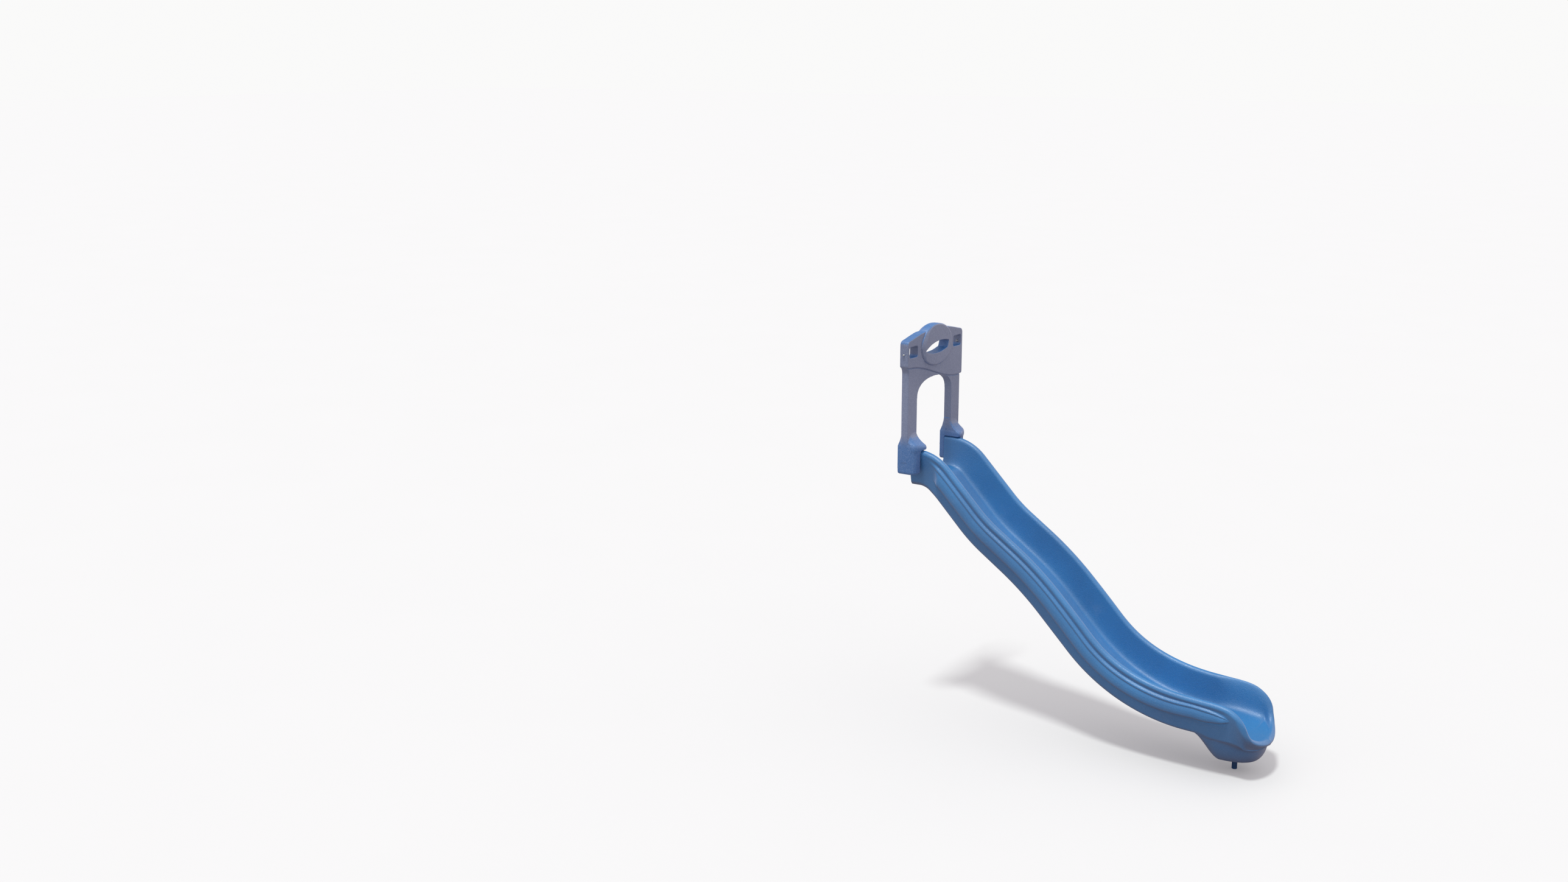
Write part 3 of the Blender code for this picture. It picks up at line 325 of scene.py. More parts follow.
def inset(outline, distance):
    """A counter-clockwise outline moved inwards by a distance, corner by corner."""
    moved = []
    count = len(outline)
    for i, (y, z) in enumerate(outline):
        before = outline[i - 1]
        after = outline[(i + 1) % count]
        a = Vector((y - before[0], z - before[1])).normalized()
        b = Vector((after[0] - y, after[1] - z)).normalized()
        inward = Vector((-a.y - b.y, a.x + b.x)).normalized()
        grow = 1 / max(0.5, inward.dot(Vector((-a.y, a.x))))
        moved.append((y + inward.x * distance * grow, z + inward.y * distance * grow))
    return moved


def bed_frame(s):
    """Place and heading (radians) on the bed centre line, a distance s from the entry."""
    x, z, heading = ENTRY_X, BED_START_Z, 0.0
    for size, turn in BED_RUN:
        if turn:
            step = min(s, size * abs(radians(turn)))
            radius = size if turn > 0 else -size
            after = heading + step / radius
            x += radius * (sin(after) - sin(heading))
            z -= radius * (cos(after) - cos(heading))
            heading = after
        else:
            step = min(s, size)
            x += step * cos(heading)
            z += step * sin(heading)
        s -= step
    return x, z, heading


def exit_start():
    """The distance along the bed at which the exit's sweep begins."""
    low, high = 2.0, 3.4
    for _ in range(40):
        middle = (low + high) / 2
        if bed_frame(middle)[0] < EXIT_X:
            low = middle
        else:
            high = middle
    return low


def crest_height(s):
    grown = mix(CREST_AT_ENTRY, CREST_AT_EXIT, min(1.0, s / CREST_FALL_S))
    fall = CREST_FALL * smooth((s - CREST_FALL_S) / (exit_start() - CREST_FALL_S))
    bend = min(1.0, max(0.0, (s - CREST_SAG_S[0]) / (CREST_SAG_S[1] - CREST_SAG_S[0])))
    return grown - fall - CREST_SAG * sin(pi * bend) ** 2


def thickness_share(s):
    """How much deeper the underside is at s than along most of the chute."""
    start, end = ENTRY_THINS_S
    return 1 + ENTRY_THICKNESS / BED_THICKNESS * (1 - smooth((s - start) / (end - start)))


def foot_share(x):
    """How far the underside has come down to the foot's bottom."""
    u = min(1.0, max(0.0, (x - FOOT_REAR_X) / (FOOT_FULL_X - FOOT_REAR_X)))
    return sin(pi / 2 * u) ** FOOT_REAR_POWER


def inner_curve(start, outward, core, side, up, angle):
    """The inner wall, from the bed's edge, through its fillet, to the rail's round at an angle."""
    end = core + (side * cos(angle) + up * sin(angle)) * RAIL_RADIUS
    arrival = side * sin(angle) - up * cos(angle)
    rise = max(0.0, (end - start).dot(up))
    reach = (end - start).length
    handle = mix(0.40 * reach, 0.74 * rise, smooth(rise / WALL_FULL))
    return (start, start + outward * min(FILLET_REACH, 0.45 * reach), end - arrival * handle, end)


def outer_curve(core, side, up, corner, angle, wall):
    """The outer side without its leaf, from under the rail to the body's lower corner."""
    start = core + (side * cos(angle) + up * sin(angle)) * RAIL_RADIUS
    drop = (corner - start).length
    leaving = side * sin(angle) - up * cos(angle)
    tall = (start - up * 0.105 * drop - side * 0.004, start.lerp(corner, 0.56) + side * 0.0012)
    low = (start + leaving * GROOVE_DEPTH, corner - side * GROOVE_DEPTH + up * 0.003)
    return (start, low[0].lerp(tall[0], wall), low[1].lerp(tall[1], wall), corner)


def rim_core():
    """The rail core's path round the exit: down the sweep, then across the lip to the centre."""
    _, z, _ = bed_frame(exit_start())
    top = z + crest_height(exit_start()) - RAIL_RADIUS
    points = [Vector((EXIT_X + x, RAIL_HALF_WIDTH - y, top - down)) for x, y, down in RIM_SWEEP]
    points += [Vector((LIP_X - back, y, LIP_Z + up)) for back, y, up in RIM_LIP]
    return lambda t: catmull(points, t)


def bed_height(x):
    """Bed level at x in the exit, dipping towards the lip."""
    _, z, heading = bed_frame(exit_start())
    level = z + (x - EXIT_X) * sin(heading)
    end = LIP_X - BED_INSET[1]
    lip_top = LIP_Z + RAIL_RADIUS * sin(radians(LIP_ANGLES[0])) + BED_UNDER_LIP
    drop = level - lip_top
    share = max(0.0, (x - BED_DIP_X) / (end - BED_DIP_X))
    return level - drop * share**BED_DIP_POWER


def ridge_height(t):
    return mix(RIDGE_Z, RIDGE_FRONT_Z, smooth((t - 0.15) / 0.85))


def turned(start_x, half_width, tip_x):
    """A line of the foot in plan, from beside the centre line round to its tip on it."""
    return lambda t: Vector((
        start_x + (tip_x - start_x) * sin(t * pi / 2) ** FOOT_ROUNDNESS,
        half_width * max(0.0, cos(t * pi / 2)) ** FOOT_ROUNDNESS,
        0,
    ))


# ---- Chute: the CAD's surface, drawn with far more lines


def steps_between(marks, counts):
    """Values that divide each span between the marks evenly, without the first mark."""
    values = []
    for low, high, count in zip(marks, marks[1:], counts):
        values += [mix(low, high, (i + 1) / count) for i in range(count)]
    return values


def between(knots, t, soft=0.0):
    """The value at t between (place, value) knots, on straight lines or softened ones."""
    for (low, a), (high, b) in zip(knots, knots[1:]):
        if t <= high:
            break
    u = (t - low) / (high - low)
    return mix(a, b, mix(u, smooth(u), soft))


def through(knots, s):
    """A smooth curve through (place, value) knots."""
    last = len(knots) - 2
    for i, ((low, a), (high, b)) in enumerate(zip(knots, knots[1:])):
        if s <= high or i == last:
            break
    before = knots[i - 1] if i else knots[0]
    after = knots[min(i + 2, last + 1)]
    span = high - low
    u = min(1.0, (s - low) / span)
    leave = (b - before[1]) / (high - before[0]) * span if high > before[0] else 0.0
    arrive = (after[1] - a) / (after[0] - low) * span
    if a == before[1]:
        leave = 0.0
    if b == after[1]:
        arrive = 0.0
    return (a * (2 * u**3 - 3 * u**2 + 1) + leave * (u**3 - 2 * u**2 + u)
            + b * (3 * u**2 - 2 * u**3) + arrive * (u**3 - u**2))


def outer_points(curve, s):
    """The outer side with its leaf, as points from the rail down to the body's corner."""
    upper, lower = through(LEAF_UPPER, s), through(LEAF_LOWER, s)
    follow = ((0.0, 0.0), (0.08, min(0.08, upper - 0.10)), (LEAF_TOP_T, upper),
              (LEAF_FOOT_T, lower), (SIDE_KEEPS, max(SIDE_KEEPS - 0.08, lower + 0.06)), (1.0, 1.0))
    width = (lower - upper) / (LEAF_FOOT_T - LEAF_TOP_T)
    faded = width**LEAF_THINS * smooth((LEAF_END_S - s) / LEAF_FADE)
    points = []
    for t in steps_between(SIDE_MARKS, SIDE_COUNTS):
        start = LEAF_START_S + LEAF_SLANT * (t - LEAF_TOP_T)
        proud = between(LEAF_SECTION, t, 0.5) * smooth((s - start) / LEAF_RISE) * faded
        points.append(bezier(curve, between(follow, t)) + ACROSS * proud)
    return points


def split_line(points):
    """A polyline with each of its spans divided, and its corners then rounded."""
    fine = [points[0]]
    for a, b in zip(points, points[1:]):
        fine += [a.lerp(b, (i + 1) / LOWER_SPLIT) for i in range(LOWER_SPLIT)]
    for _ in range(5):
        middle = [(fine[i - 1] + fine[i] * 2 + fine[i + 1]) / 4 for i in range(1, len(fine) - 1)]
        fine[1:-1] = middle
    return fine


def arc_about(core, side, up, start_angle, end_angle):
    points = []
    for i in range(RAIL_STEPS + 1):
        a = mix(start_angle, end_angle, i / RAIL_STEPS)
        points.append(core + (side * cos(a) + up * sin(a)) * RAIL_RADIUS)
    return points


def half_ring(edge, inner, arc, outer, lower):
    """A half cross-section's points, from the bed's centre round to the underside's centre."""
    middle = Vector((edge.x, 0, edge.z))
    ring = [middle.lerp(edge, i / BED_STEPS) for i in range(BED_STEPS)]
    ring += [bezier(inner, i / FILLET_STEPS) for i in range(FILLET_STEPS)]
    under = Vector((lower[-1].x, 0, lower[-1].z))
    return ring + arc + outer + split_line([outer[-1], *lower, under])[1:]


def straight_half(s):
    """Half a cross-section, from the bed's centre round to the underside's centre."""
    x, z, heading = bed_frame(s)
    normal = Vector((-sin(heading), 0, cos(heading)))
    crest = crest_height(s)

    def at(y, n):
        return Vector((x, y, z)) + normal * n

    core = at(RAIL_HALF_WIDTH, crest - RAIL_RADIUS)
    deeper = BED_THICKNESS * (thickness_share(s) - 1)
    corner = at(BODY_HALF_WIDTH, crest - CORNER_DEPTH - deeper)
    corner = corner.lerp(Vector((corner.x, 0.244, RIDGE_Z)), foot_share(x))
    lower = []
    for (body_y, depth), (foot_y, height) in LOWER_LINES:
        body = at(body_y, -depth * thickness_share(s))
        foot = Vector((body.x, foot_y, mix(FOOT_BOTTOM_Z, RIDGE_Z, height)))
        lower.append(body.lerp(foot, foot_share(body.x)))
    edge = at(BED_HALF_WIDTH, 0)
    inner = inner_curve(edge, ACROSS, core, ACROSS, normal, pi)
    outer = outer_points(outer_curve(core, ACROSS, normal, corner, 0, 1), s)
    arc = arc_about(core, ACROSS, normal, pi, 0)
    return half_ring(edge, inner, arc, outer, lower)


def lower_paths(count):
    """The lines under the exit, each as its points from the sweep's start round to its tip."""
    s = exit_start()
    x, z, heading = bed_frame(s)
    normal = Vector((-sin(heading), 0, cos(heading)))
    paths = []
    for ((body_y, depth), (foot_y, height)), (tip_x, tip_height) in zip(LOWER_LINES, LOWER_TIPS):
        body = Vector((x, body_y, z)) - normal * depth
        start = body.lerp(Vector((body.x, foot_y, 0)), foot_share(body.x))
        line = even_steps(turned(start.x, start.y, tip_x), count)
        for k, point in enumerate(line):
            t = k / (count - 1)
            foot = mix(FOOT_BOTTOM_Z, ridge_height(t), mix(height, tip_height, smooth(t)))
            point.z = mix(bed_height(start.x) - depth, foot, foot_share(point.x))
        paths.append(line)
    return paths


def side_of(cores, k):
    """The rim's direction at a point of its core, and the horizontal direction out of it."""
    if k == len(cores) - 1:
        along = -ACROSS
    else:
        along = (cores[k + 1] - cores[max(0, k - 1)]).normalized()
    return along, UP.cross(along).normalized()


def ridge_path(cores, sides):
    """The ridge round the exit, a point for each of the rim's, eased where the rim turns."""
    last = len(cores) - 1
    points = []
    for k, (core, (_, side)) in enumerate(zip(cores, sides)):
        share = smooth((k / last - RIDGE_SHIFTS[0]) / (RIDGE_SHIFTS[1] - RIDGE_SHIFTS[0]))
        points.append(core + side * mix(*RIDGE_OFFSET, share))
    for _ in range(RIDGE_ROUNDS):
        points[1:-1] = [(points[i - 1] + points[i] * 2 + points[i + 1]) / 4 for i in range(1, last)]
    over = ridge_start() - RIDGE_Z
    for k, point in enumerate(points):
        point.z = ridge_height(k / last) + over * (1 - smooth(k / last / RIDGE_SETTLES))
    return points


def ridge_start():
    """Height of the body's corner where the exit begins."""
    x, z, heading = bed_frame(exit_start())
    body = z + cos(heading) * (crest_height(exit_start()) - CORNER_DEPTH)
    return mix(body, RIDGE_Z, foot_share(x))


def exit_halves(count):
    """Half cross-sections that fan round the exit and close on the centre line."""
    cores = even_steps(rim_core(), count)
    sides = [side_of(cores, k) for k in range(count)]
    ridge = ridge_path(cores, sides)
    paths = lower_paths(count)
    halves = []
    for k in range(EXIT_FIRST, count):
        share = k / (count - 1)
        along, side = sides[k]
        up = along.cross(side)
        core = cores[k]
        edge = core - side * mix(*BED_INSET, smooth(share * 1.15))
        edge.y = max(0.0, edge.y)
        edge.z = bed_height(edge.x)
        wall = smooth((core.z - edge.z + RAIL_RADIUS) / WALL_FULL)
        start_angle = mix(radians(LIP_ANGLES[0]), pi, wall)
        end_angle = mix(radians(LIP_ANGLES[1]), 0, wall)
        inner = inner_curve(edge, side, core, side, up, start_angle)
        curve = outer_curve(core, side, up, ridge[k], end_angle, wall)
        outer = outer_points(curve, exit_start() + EXIT_LENGTH * share)
        arc = arc_about(core, side, up, start_angle, end_angle)
        halves.append(half_ring(edge, inner, arc, outer, [path[k] for path in paths]))
    for point in halves[-1]:
        point.y = 0.0
    return halves


def relax(grid, rings, points, rounds):
    """Evens out a patch of the grid, so that no crease is left where its parts meet.

    It takes hold over the patch's first 10 rings and over 6 points at its sides."""
    first, last = rings
    low, high = points
    ring_ease = np.clip((np.arange(first, last) - first) / 10, 0, 1)[:, None, None]
    at = np.arange(low, high)
    from_low = 1.0 if low == 0 else np.clip((at - low + 1) / 6, 0, 1)
    point_ease = (np.clip((high - at) / 6, 0, 1) * from_low)[None, :, None]
    for _ in range(rounds):
        patch = grid[first:last, low:high]
        if low == 0:
            mirrored = grid[first:last, 1:2] * [1, -1, 1]
            across = np.concatenate([mirrored, grid[first:last, : high - 1]], 1)
        else:
            across = grid[first:last, low - 1 : high - 1]
        around = (across + grid[first:last, low + 1 : high + 1]
                  + grid[first - 1 : last - 1, low:high] + grid[first + 1 : last + 1, low:high]) / 4
        grid[first:last, low:high] = patch + (around - patch) * 0.6 * ring_ease * point_ease


def chute_halves():
    """Every half cross-section, evened out round the exit: inside, and outside past the leaf."""
    last = exit_start()
    count = round(last / STATION_STEP)
    halves = [straight_half(last * k / count) for k in range(count + 1)]
    first_exit = len(halves)
    halves += exit_halves(EXIT_STEPS)
    grid = np.array([[tuple(p) for p in ring] for ring in halves])
    end = len(halves) - 1
    rail = BED_STEPS + FILLET_STEPS
    relax(grid, (first_exit - RINGS_BEFORE, end), (0, rail + RAIL_STEPS // 2), ROUNDS_INSIDE)
    past_leaf = first_exit + round((LEAF_END_S + 0.02 - last) / EXIT_LENGTH * EXIT_STEPS)
    side_end = rail + RAIL_STEPS + sum(SIDE_COUNTS)
    relax(grid, (past_leaf, end), (rail + RAIL_STEPS * 3 // 4, side_end), ROUNDS_OUTSIDE)
    return [[Vector(p) for p in ring] for ring in grid]


def grid_mesh(halves):
    """A closed shell from the half rings and their mirror image, capped at the entry."""
    bm = bmesh.new()
    caps = []
    for mirror in (1, -1):
        grid = [[bm.verts.new((p.x, p.y * mirror, p.z)) for p in ring] for ring in halves]
        for first, second in zip(grid, grid[1:]):
            for i in range(len(first) - 1):
                face = (first[i], first[i + 1], second[i + 1], second[i])
                bm.faces.new(face if mirror > 0 else face[::-1])
        caps.append(grid[0])
    bm.faces.new(caps[0][::-1] + caps[1][1:-1])
    bmesh.ops.remove_doubles(bm, verts=bm.verts, dist=1e-5)
    return bm


# ---- Helpers


def in_scene(name, data):
    obj = bpy.data.objects.new(name, data)
    bpy.context.scene.collection.objects.link(obj)
    return obj


def mesh_object(name, bm, smooth_angle=40.0):
    bmesh.ops.remove_doubles(bm, verts=bm.verts, dist=1e-6)
    bmesh.ops.recalc_face_normals(bm, faces=bm.faces)
    mesh = bpy.data.meshes.new(name)
    bm.to_mesh(mesh)
    bm.free()
    mesh.shade_smooth()
    mesh.set_sharp_from_angle(angle=radians(smooth_angle))
    return in_scene(name, mesh)


def settle(obj, name, smooth_angle=40.0):
    """A new object with the modifiers' result as its own mesh. The old one is removed."""
    bpy.context.view_layer.update()
    graph = bpy.context.evaluated_depsgraph_get()
    mesh = bpy.data.meshes.new_from_object(obj.evaluated_get(graph))
    bm = bmesh.new()
    bm.from_mesh(mesh)
    bpy.data.objects.remove(obj, do_unlink=True)
    bpy.data.meshes.remove(mesh)
    return mesh_object(name, bm, smooth_angle)


def modify(obj, kind, **settings):
    modifier = obj.modifiers.new(f"{kind.lower()}_{len(obj.modifiers)}", kind)
    for key, value in settings.items():
        setattr(modifier, key, value)


def bridge(loops, closed_tube=False):
    """A closed mesh from rings of as many points each, capped or joined end to end."""
    bm = bmesh.new()
    rings = [[bm.verts.new(p) for p in loop] for loop in loops]
    pairs = list(zip(rings, rings[1:]))
    if closed_tube:
        pairs.append((rings[-1], rings[0]))
    for first, second in pairs:
        count = len(first)
        for i in range(count):
            j = (i + 1) % count
            bm.faces.new((first[i], first[j], second[j], second[i]))
    if not closed_tube:
        bm.faces.new(rings[0][::-1])
        bm.faces.new(rings[-1])
    return bm


def merged(parts):
    """One bmesh from several that don't touch."""
    whole = bmesh.new()
    for part in parts:
        mesh = bpy.data.meshes.new("part")
        part.to_mesh(mesh)
        part.free()
        whole.from_mesh(mesh)
        bpy.data.meshes.remove(mesh)
    return whole


def box_mesh(centre, size):
    bm = bmesh.new()
    bmesh.ops.create_cube(bm, size=1.0)
    bmesh.ops.scale(bm, vec=size, verts=bm.verts)
    bmesh.ops.translate(bm, vec=centre, verts=bm.verts)
    return bm


def turned_loops(origin, axis, steps, segments=ROUND_SEGMENTS):
    """Rings round an axis, each (distance along it, radius), or (.., .., True) for a hexagon."""
    first = axis.orthogonal().normalized()
    second = axis.cross(first)
    loops = []
    for along, radius, *hexagon in steps:
        loop = []
        for i in range(segments):
            angle = 2 * pi * i / segments
            reach = radius
            if hexagon:
                reach = radius * cos(pi / 6) / cos(angle % (pi / 3) - pi / 6)
            direction = first * cos(angle) + second * sin(angle)
            loop.append(origin + axis * along + direction * reach)
        loops.append(loop)
    return loops


def rod_mesh(start, axis, radius, length):
    return bridge(turned_loops(start, axis, ((0, radius), (length, radius))))


def shifted(bm):
    """The dimensions above measure x from the deck posts, and the frame from the centre."""
    bmesh.ops.translate(bm, vec=(-ORIGIN_X, 0, 0), verts=bm.verts)
    return bm


def plate_corners(z):
    """The places of the plate's four bolts, at a height."""
    dx, dy = PLATE_BOLT
    return [Vector((SUPPORT_X + x, y, z)) for x in (dx, -dx) for y in (-dy, dy)]


def insert_places():
    """Mouth and outward axis of every threaded insert in the chute."""
    places = [(at, -UP) for at in plate_corners(PLATE_BOTTOM_Z + PLATE_THICKNESS + 2 * GAP)]
    face = ENTRY_X + GAP
    for side in (-1, 1):
        places += [(Vector((face, side * y, DECK_INSERT_Z)), -FORWARD) for y in DECK_INSERT_Y]
        places += [(Vector((face, side * HOOD_BOLT_Y, z)), -FORWARD) for z in HOOD_BOLT_Z]
    return places


def make_chute():
    chute = mesh_object("chute_shell", shifted(grid_mesh(chute_halves())))
    cuts = []
    for place, axis in insert_places():
        cuts.append(rod_mesh(place - axis * (INSERT_LENGTH + GAP), axis, INSERT_RADIUS + GAP,
                             INSERT_LENGTH + 0.02))
    depth = 0.06
    roof = PLATE_BOTTOM_Z + PLATE_THICKNESS + GAP
    sides = [side + 2 * POCKET_MARGIN for side in PLATE_SIZE]
    pocket = box_mesh(Vector((SUPPORT_X, 0, roof - depth / 2)), (*sides, depth))
    cutters = [mesh_object("bores", shifted(merged(cuts))), mesh_object("pocket", shifted(pocket))]
    for cutter in cutters:
        modify(chute, "BOOLEAN", operation="DIFFERENCE", object=cutter, solver="EXACT")
    made = settle(chute, "moulded_chute", CHUTE_CREASE)
    for cutter in cutters:
        bpy.data.objects.remove(cutter, do_unlink=True)
    return made


# ---- Hood


def arc_points(centre, radius, start, end, steps):
    """Points on an arc in the (y, z) plane, angles in degrees."""
    points = []
    for i in range(steps + 1):
        a = radians(mix(start, end, i / steps))
        points.append((centre[0] + radius * cos(a), centre[1] + radius * sin(a)))
    return points


def window_outline(side):
    """A hand-hold window: a counter-clockwise rectangle with its corners rounded."""
    radius = WINDOW_RADIUS
    low, high = sorted(side * y for y in WINDOW_Y)
    left, right = low + radius, high - radius
    foot, top = WINDOW_Z[0] + radius, WINDOW_Z[1] - radius
    outline = []
    for i, centre in enumerate(((right, top), (left, top), (left, foot), (right, foot))):
        outline += arc_points(centre, radius, 90 * i, 90 * i + 90, 6)
    return outline


def eye_outline(steps=8):
    """A leaf shape, counter-clockwise: pointed at the -Y end and blunt at the other."""
    outline = []
    for edge in (EYE_FOOT[::-1], EYE_TOP[::-1]):
        points = [Vector(p) for p in edge]
        outline += [tuple(catmull(points, i / steps)) for i in range(steps + 1)]
    return outline[:-1]


def arch_outline():
    """The opening: straight sides and a flattened arch, running on below the legs."""
    outline = [(ARCH_HALF_WIDTH, LEG_BOTTOM_Z - 0.05), (ARCH_HALF_WIDTH, ARCH_SPRING_Z)]
    rise = ARCH_TOP_Z - ARCH_SPRING_Z
    steps = 14
    for i in range(1, steps):
        a = pi * i / steps
        y = ARCH_HALF_WIDTH * abs(cos(a)) ** (2 / ARCH_ROUNDNESS) * (1 if cos(a) >= 0 else -1)
        outline.append((y, ARCH_SPRING_Z + rise * sin(a) ** (2 / ARCH_ROUNDNESS)))
    outline += [(-ARCH_HALF_WIDTH, ARCH_SPRING_Z), (-ARCH_HALF_WIDTH, LEG_BOTTOM_Z - 0.05)]
    return outline


def band_top(y):
    """Height of the band's top edge, away from the medallion."""
    near, far = BAND_TOP_Y
    return mix(*BAND_TOP_Z, smooth((abs(y) - near) / (far - near)))


def band_foot(y):
    """Height of the step under the band: an S-curve, higher on the -Y side."""
    share = (y + 0.02) / (BAND_OUTER_Y - 0.03)
    return BAND_STEP_Z - BAND_STEP_SWING * sin(max(-1.0, min(1.0, share)) * pi / 2)


def top_edge(steps=9):
    """The band's top edge from +Y to -Y, its ends rounded."""
    centre = (BAND_OUTER_Y - BAND_CORNER, band_top(BAND_OUTER_Y) - BAND_CORNER)
    right = arc_points(centre, BAND_CORNER, 0, 80, 3)
    reach = BAND_OUTER_Y - 0.05
    middle = [mix(reach, -reach, i / steps) for i in range(steps + 1)]
    middle = [(y, band_top(y)) for y in middle]
    left = [(-y, z) for y, z in right[::-1]]
    return right + middle + left


def band_outline():
    foot = [mix(-BAND_OUTER_Y, BAND_OUTER_Y, i / 12) for i in range(13)]
    return [(y, band_foot(y)) for y in foot] + top_edge()


def panel_outline():
    """The legs and the panel between them, without the arch."""
    low, high = SHOULDER_Z
    right = [(LEG_OUTER_Y, LEG_BOTTOM_Z + 0.08), (LEG_OUTER_Y, low), (BAND_OUTER_Y, high)]
    left = [(-y, z) for y, z in right[::-1]]
    return right + top_edge() + left


def plate_mesh(outline, x_back, x_front, chamfer=0.0):
    """A plate from a (y, z) outline."""
    profile = [(x_back, chamfer), (x_front, chamfer)]
    if chamfer:
        profile[1:1] = [(x_back + chamfer, 0.0), (x_front - chamfer, 0.0)]
    loops = []
    for x, drawn_in in profile:
        shape = inset(outline, drawn_in) if drawn_in else outline
        loops.append([(x, y, z) for y, z in shape])
    return bridge(loops)


def resample(outline, step):
    """A closed outline with its long spans divided."""
    points = []
    for i, (y, z) in enumerate(outline):
        after = outline[(i + 1) % len(outline)]
        count = max(1, round(((after[0] - y) ** 2 + (after[1] - z) ** 2) ** 0.5 / step))
        points += [(mix(y, after[0], j / count), mix(z, after[1], j / count)) for j in range(count)]
    return points


def rounded(outline, rounds):
    """A closed outline with its corners eased."""
    for _ in range(rounds):
        ahead = outline[1:] + outline[:1]
        behind = outline[-1:] + outline[:-1]
        outline = [
            tuple((a + 2 * b + c) / 4 for a, b, c in zip(*trio))
            for trio in zip(behind, outline, ahead)
        ]
    return outline


def medallion_mesh(steps=180):
    """An oval disc with a crisp edge on its +Y side and a broad, soft one on the other."""
    loops = []
    for x, drawn_in in MEDALLION_PROFILE:
        loop = []
        for i in range(steps):
            a = 2 * pi * i / steps
            soft = smooth((-cos(a) + 0.25) / 1.1) * smooth((0.9 - abs(sin(a) - 0.15)) / 0.5)
            front = max(0.0, (x - HOOD_FRONT_X) / 0.019)
            draw = drawn_in + soft * MEDALLION_SOFT * front**1.3
            loop.append((x, (MEDALLION_HALF_WIDTH - draw) * cos(a),
                         MEDALLION_Z + (MEDALLION_HALF_HEIGHT - draw) * sin(a)))
        loops.append(loop)
    return bridge(loops)


def boot_mesh(side):
    """A boot and the foot of its leg, before the chute's slot is cut out."""
    loops = []
    for z, x_back, x_front, draw in BOOT_LEVELS:
        outer = LEG_OUTER_Y - 0.002 - draw
        low = WEB_INNER_Y + draw
        block_front = min(x_front, BOOT_FRONT_X + BLOCK_SHARE * max(0.0, x_front - BOOT_FRONT_X))
        corners = [
            (x_back, low),
            (x_front - 0.010, low),
            (x_front, low + 0.010),
            (x_front, 0.288),
            (mix(x_front, block_front, 0.6), 0.318),
            (block_front - 0.002, outer - 0.032),
            (block_front - 0.013, outer - 0.011),
            (block_front - 0.036, outer),
            (x_back, outer),
        ]
        loops.append([(x, side * y, z) for x, y in corners])
    return bridge(loops)


def chute_slot_mesh(side):
    """The room that a boot leaves for the chute's side wall and rail."""
    low, high = sorted((side * (WEB_INNER_Y - 0.05), side * BOOT_INNER_Y))
    front, foot = 0.30, 1.70
    centre = Vector(((WEB_FRONT_X + front) / 2, (low + high) / 2, (foot + NOSE_BOTTOM_Z) / 2))
    return box_mesh(centre, (front - WEB_FRONT_X, high - low, NOSE_BOTTOM_Z - foot))


def opening_meshes():
    """Cutters for the arch, the medallion's eye and the two hand-hold windows."""
    outlines = [rounded(resample(arch_outline(), 0.006), 14)]
    outlines.append(rounded(resample(eye_outline(), 0.003), 3))
    outlines += [window_outline(side) for side in (1, -1)]
    return [plate_mesh(o, HOOD_BACK_X - CUT_REACH, HOOD_FRONT_X + CUT_REACH) for o in outlines]


def step_groove_mesh():
    """A cutter for the groove under the band, on the front. The band fills its upper part."""
    reach = BAND_OUTER_Y + 0.01
    ys = [mix(-reach, reach, i / 60) for i in range(61)]
    foot = [(y, band_foot(y) - LINE_WIDTH) for y in ys]
    head = [(y, band_foot(y) + 0.012) for y in reversed(ys)]
    return plate_mesh(foot + head, HOOD_FRONT_X - LINE_DEPTH, HOOD_FRONT_X + 0.01)


def edge_groove_mesh(steps=120):
    """A cutter for the groove beside the medallion, which fills its middle."""
    oval = []
    for i in range(steps):
        a = 2 * pi * i / steps
        grown = LINE_WIDTH * smooth(0.5 + cos(a))
        oval.append(((MEDALLION_HALF_WIDTH + grown) * cos(a),
                     MEDALLION_Z + (MEDALLION_HALF_HEIGHT + grown) * sin(a)))
    front = HOOD_FRONT_X + BAND_RAISE
    return plate_mesh(oval, front - LINE_DEPTH, front + 0.02)


def make_hood():
    panel = rounded(resample(panel_outline(), 0.008), 2)
    hood = mesh_object("panel", plate_mesh(panel, HOOD_BACK_X, HOOD_FRONT_X, 0.006))
    band = rounded(resample(band_outline(), 0.008), 4)
    helpers = []

    def use(bm, operation):
        helper = mesh_object(f"helper_{len(helpers)}", bm)
        helpers.append(helper)
        modify(hood, "BOOLEAN", operation=operation, object=helper, solver="EXACT")

    use(step_groove_mesh(), "DIFFERENCE")
    use(plate_mesh(band, HOOD_BACK_X - BAND_RAISE, HOOD_FRONT_X + BAND_RAISE, 0.003), "UNION")
    use(edge_groove_mesh(), "DIFFERENCE")
    use(medallion_mesh(), "UNION")
    for bm in opening_meshes():
        use(bm, "DIFFERENCE")
    for side in (1, -1):
        use(boot_mesh(side), "UNION")
        use(chute_slot_mesh(side), "DIFFERENCE")
    for side in (1, -1):
        for z in HOOD_BOLT_Z:
            start = Vector((BOOT_BACK_X - 0.02, side * HOOD_BOLT_Y, z))
            use(rod_mesh(start, FORWARD, BORE_RADIUS, BORE_LENGTH), "DIFFERENCE")
        start = Vector((POST_BOLT_X, side * (WINDOW_Y[1] - 0.03), POST_BOLT_Z))
        use(rod_mesh(start, ACROSS * side, BORE_RADIUS, BORE_LENGTH), "DIFFERENCE")
    solid = settle(hood, "hood_solid")
    for helper in helpers:
        bpy.data.objects.remove(helper, do_unlink=True)
    modify(solid, "REMESH", mode="VOXEL", voxel_size=VOXEL)
    modify(solid, "SMOOTH", factor=0.5, iterations=3)
    modify(solid, "DECIMATE", ratio=THINNED)
    made = settle(solid, "moulded_hood", 180.0)
    made.data.transform(Matrix.Translation((-ORIGIN_X, 0, 0)))
    return made


# ---- Steel parts


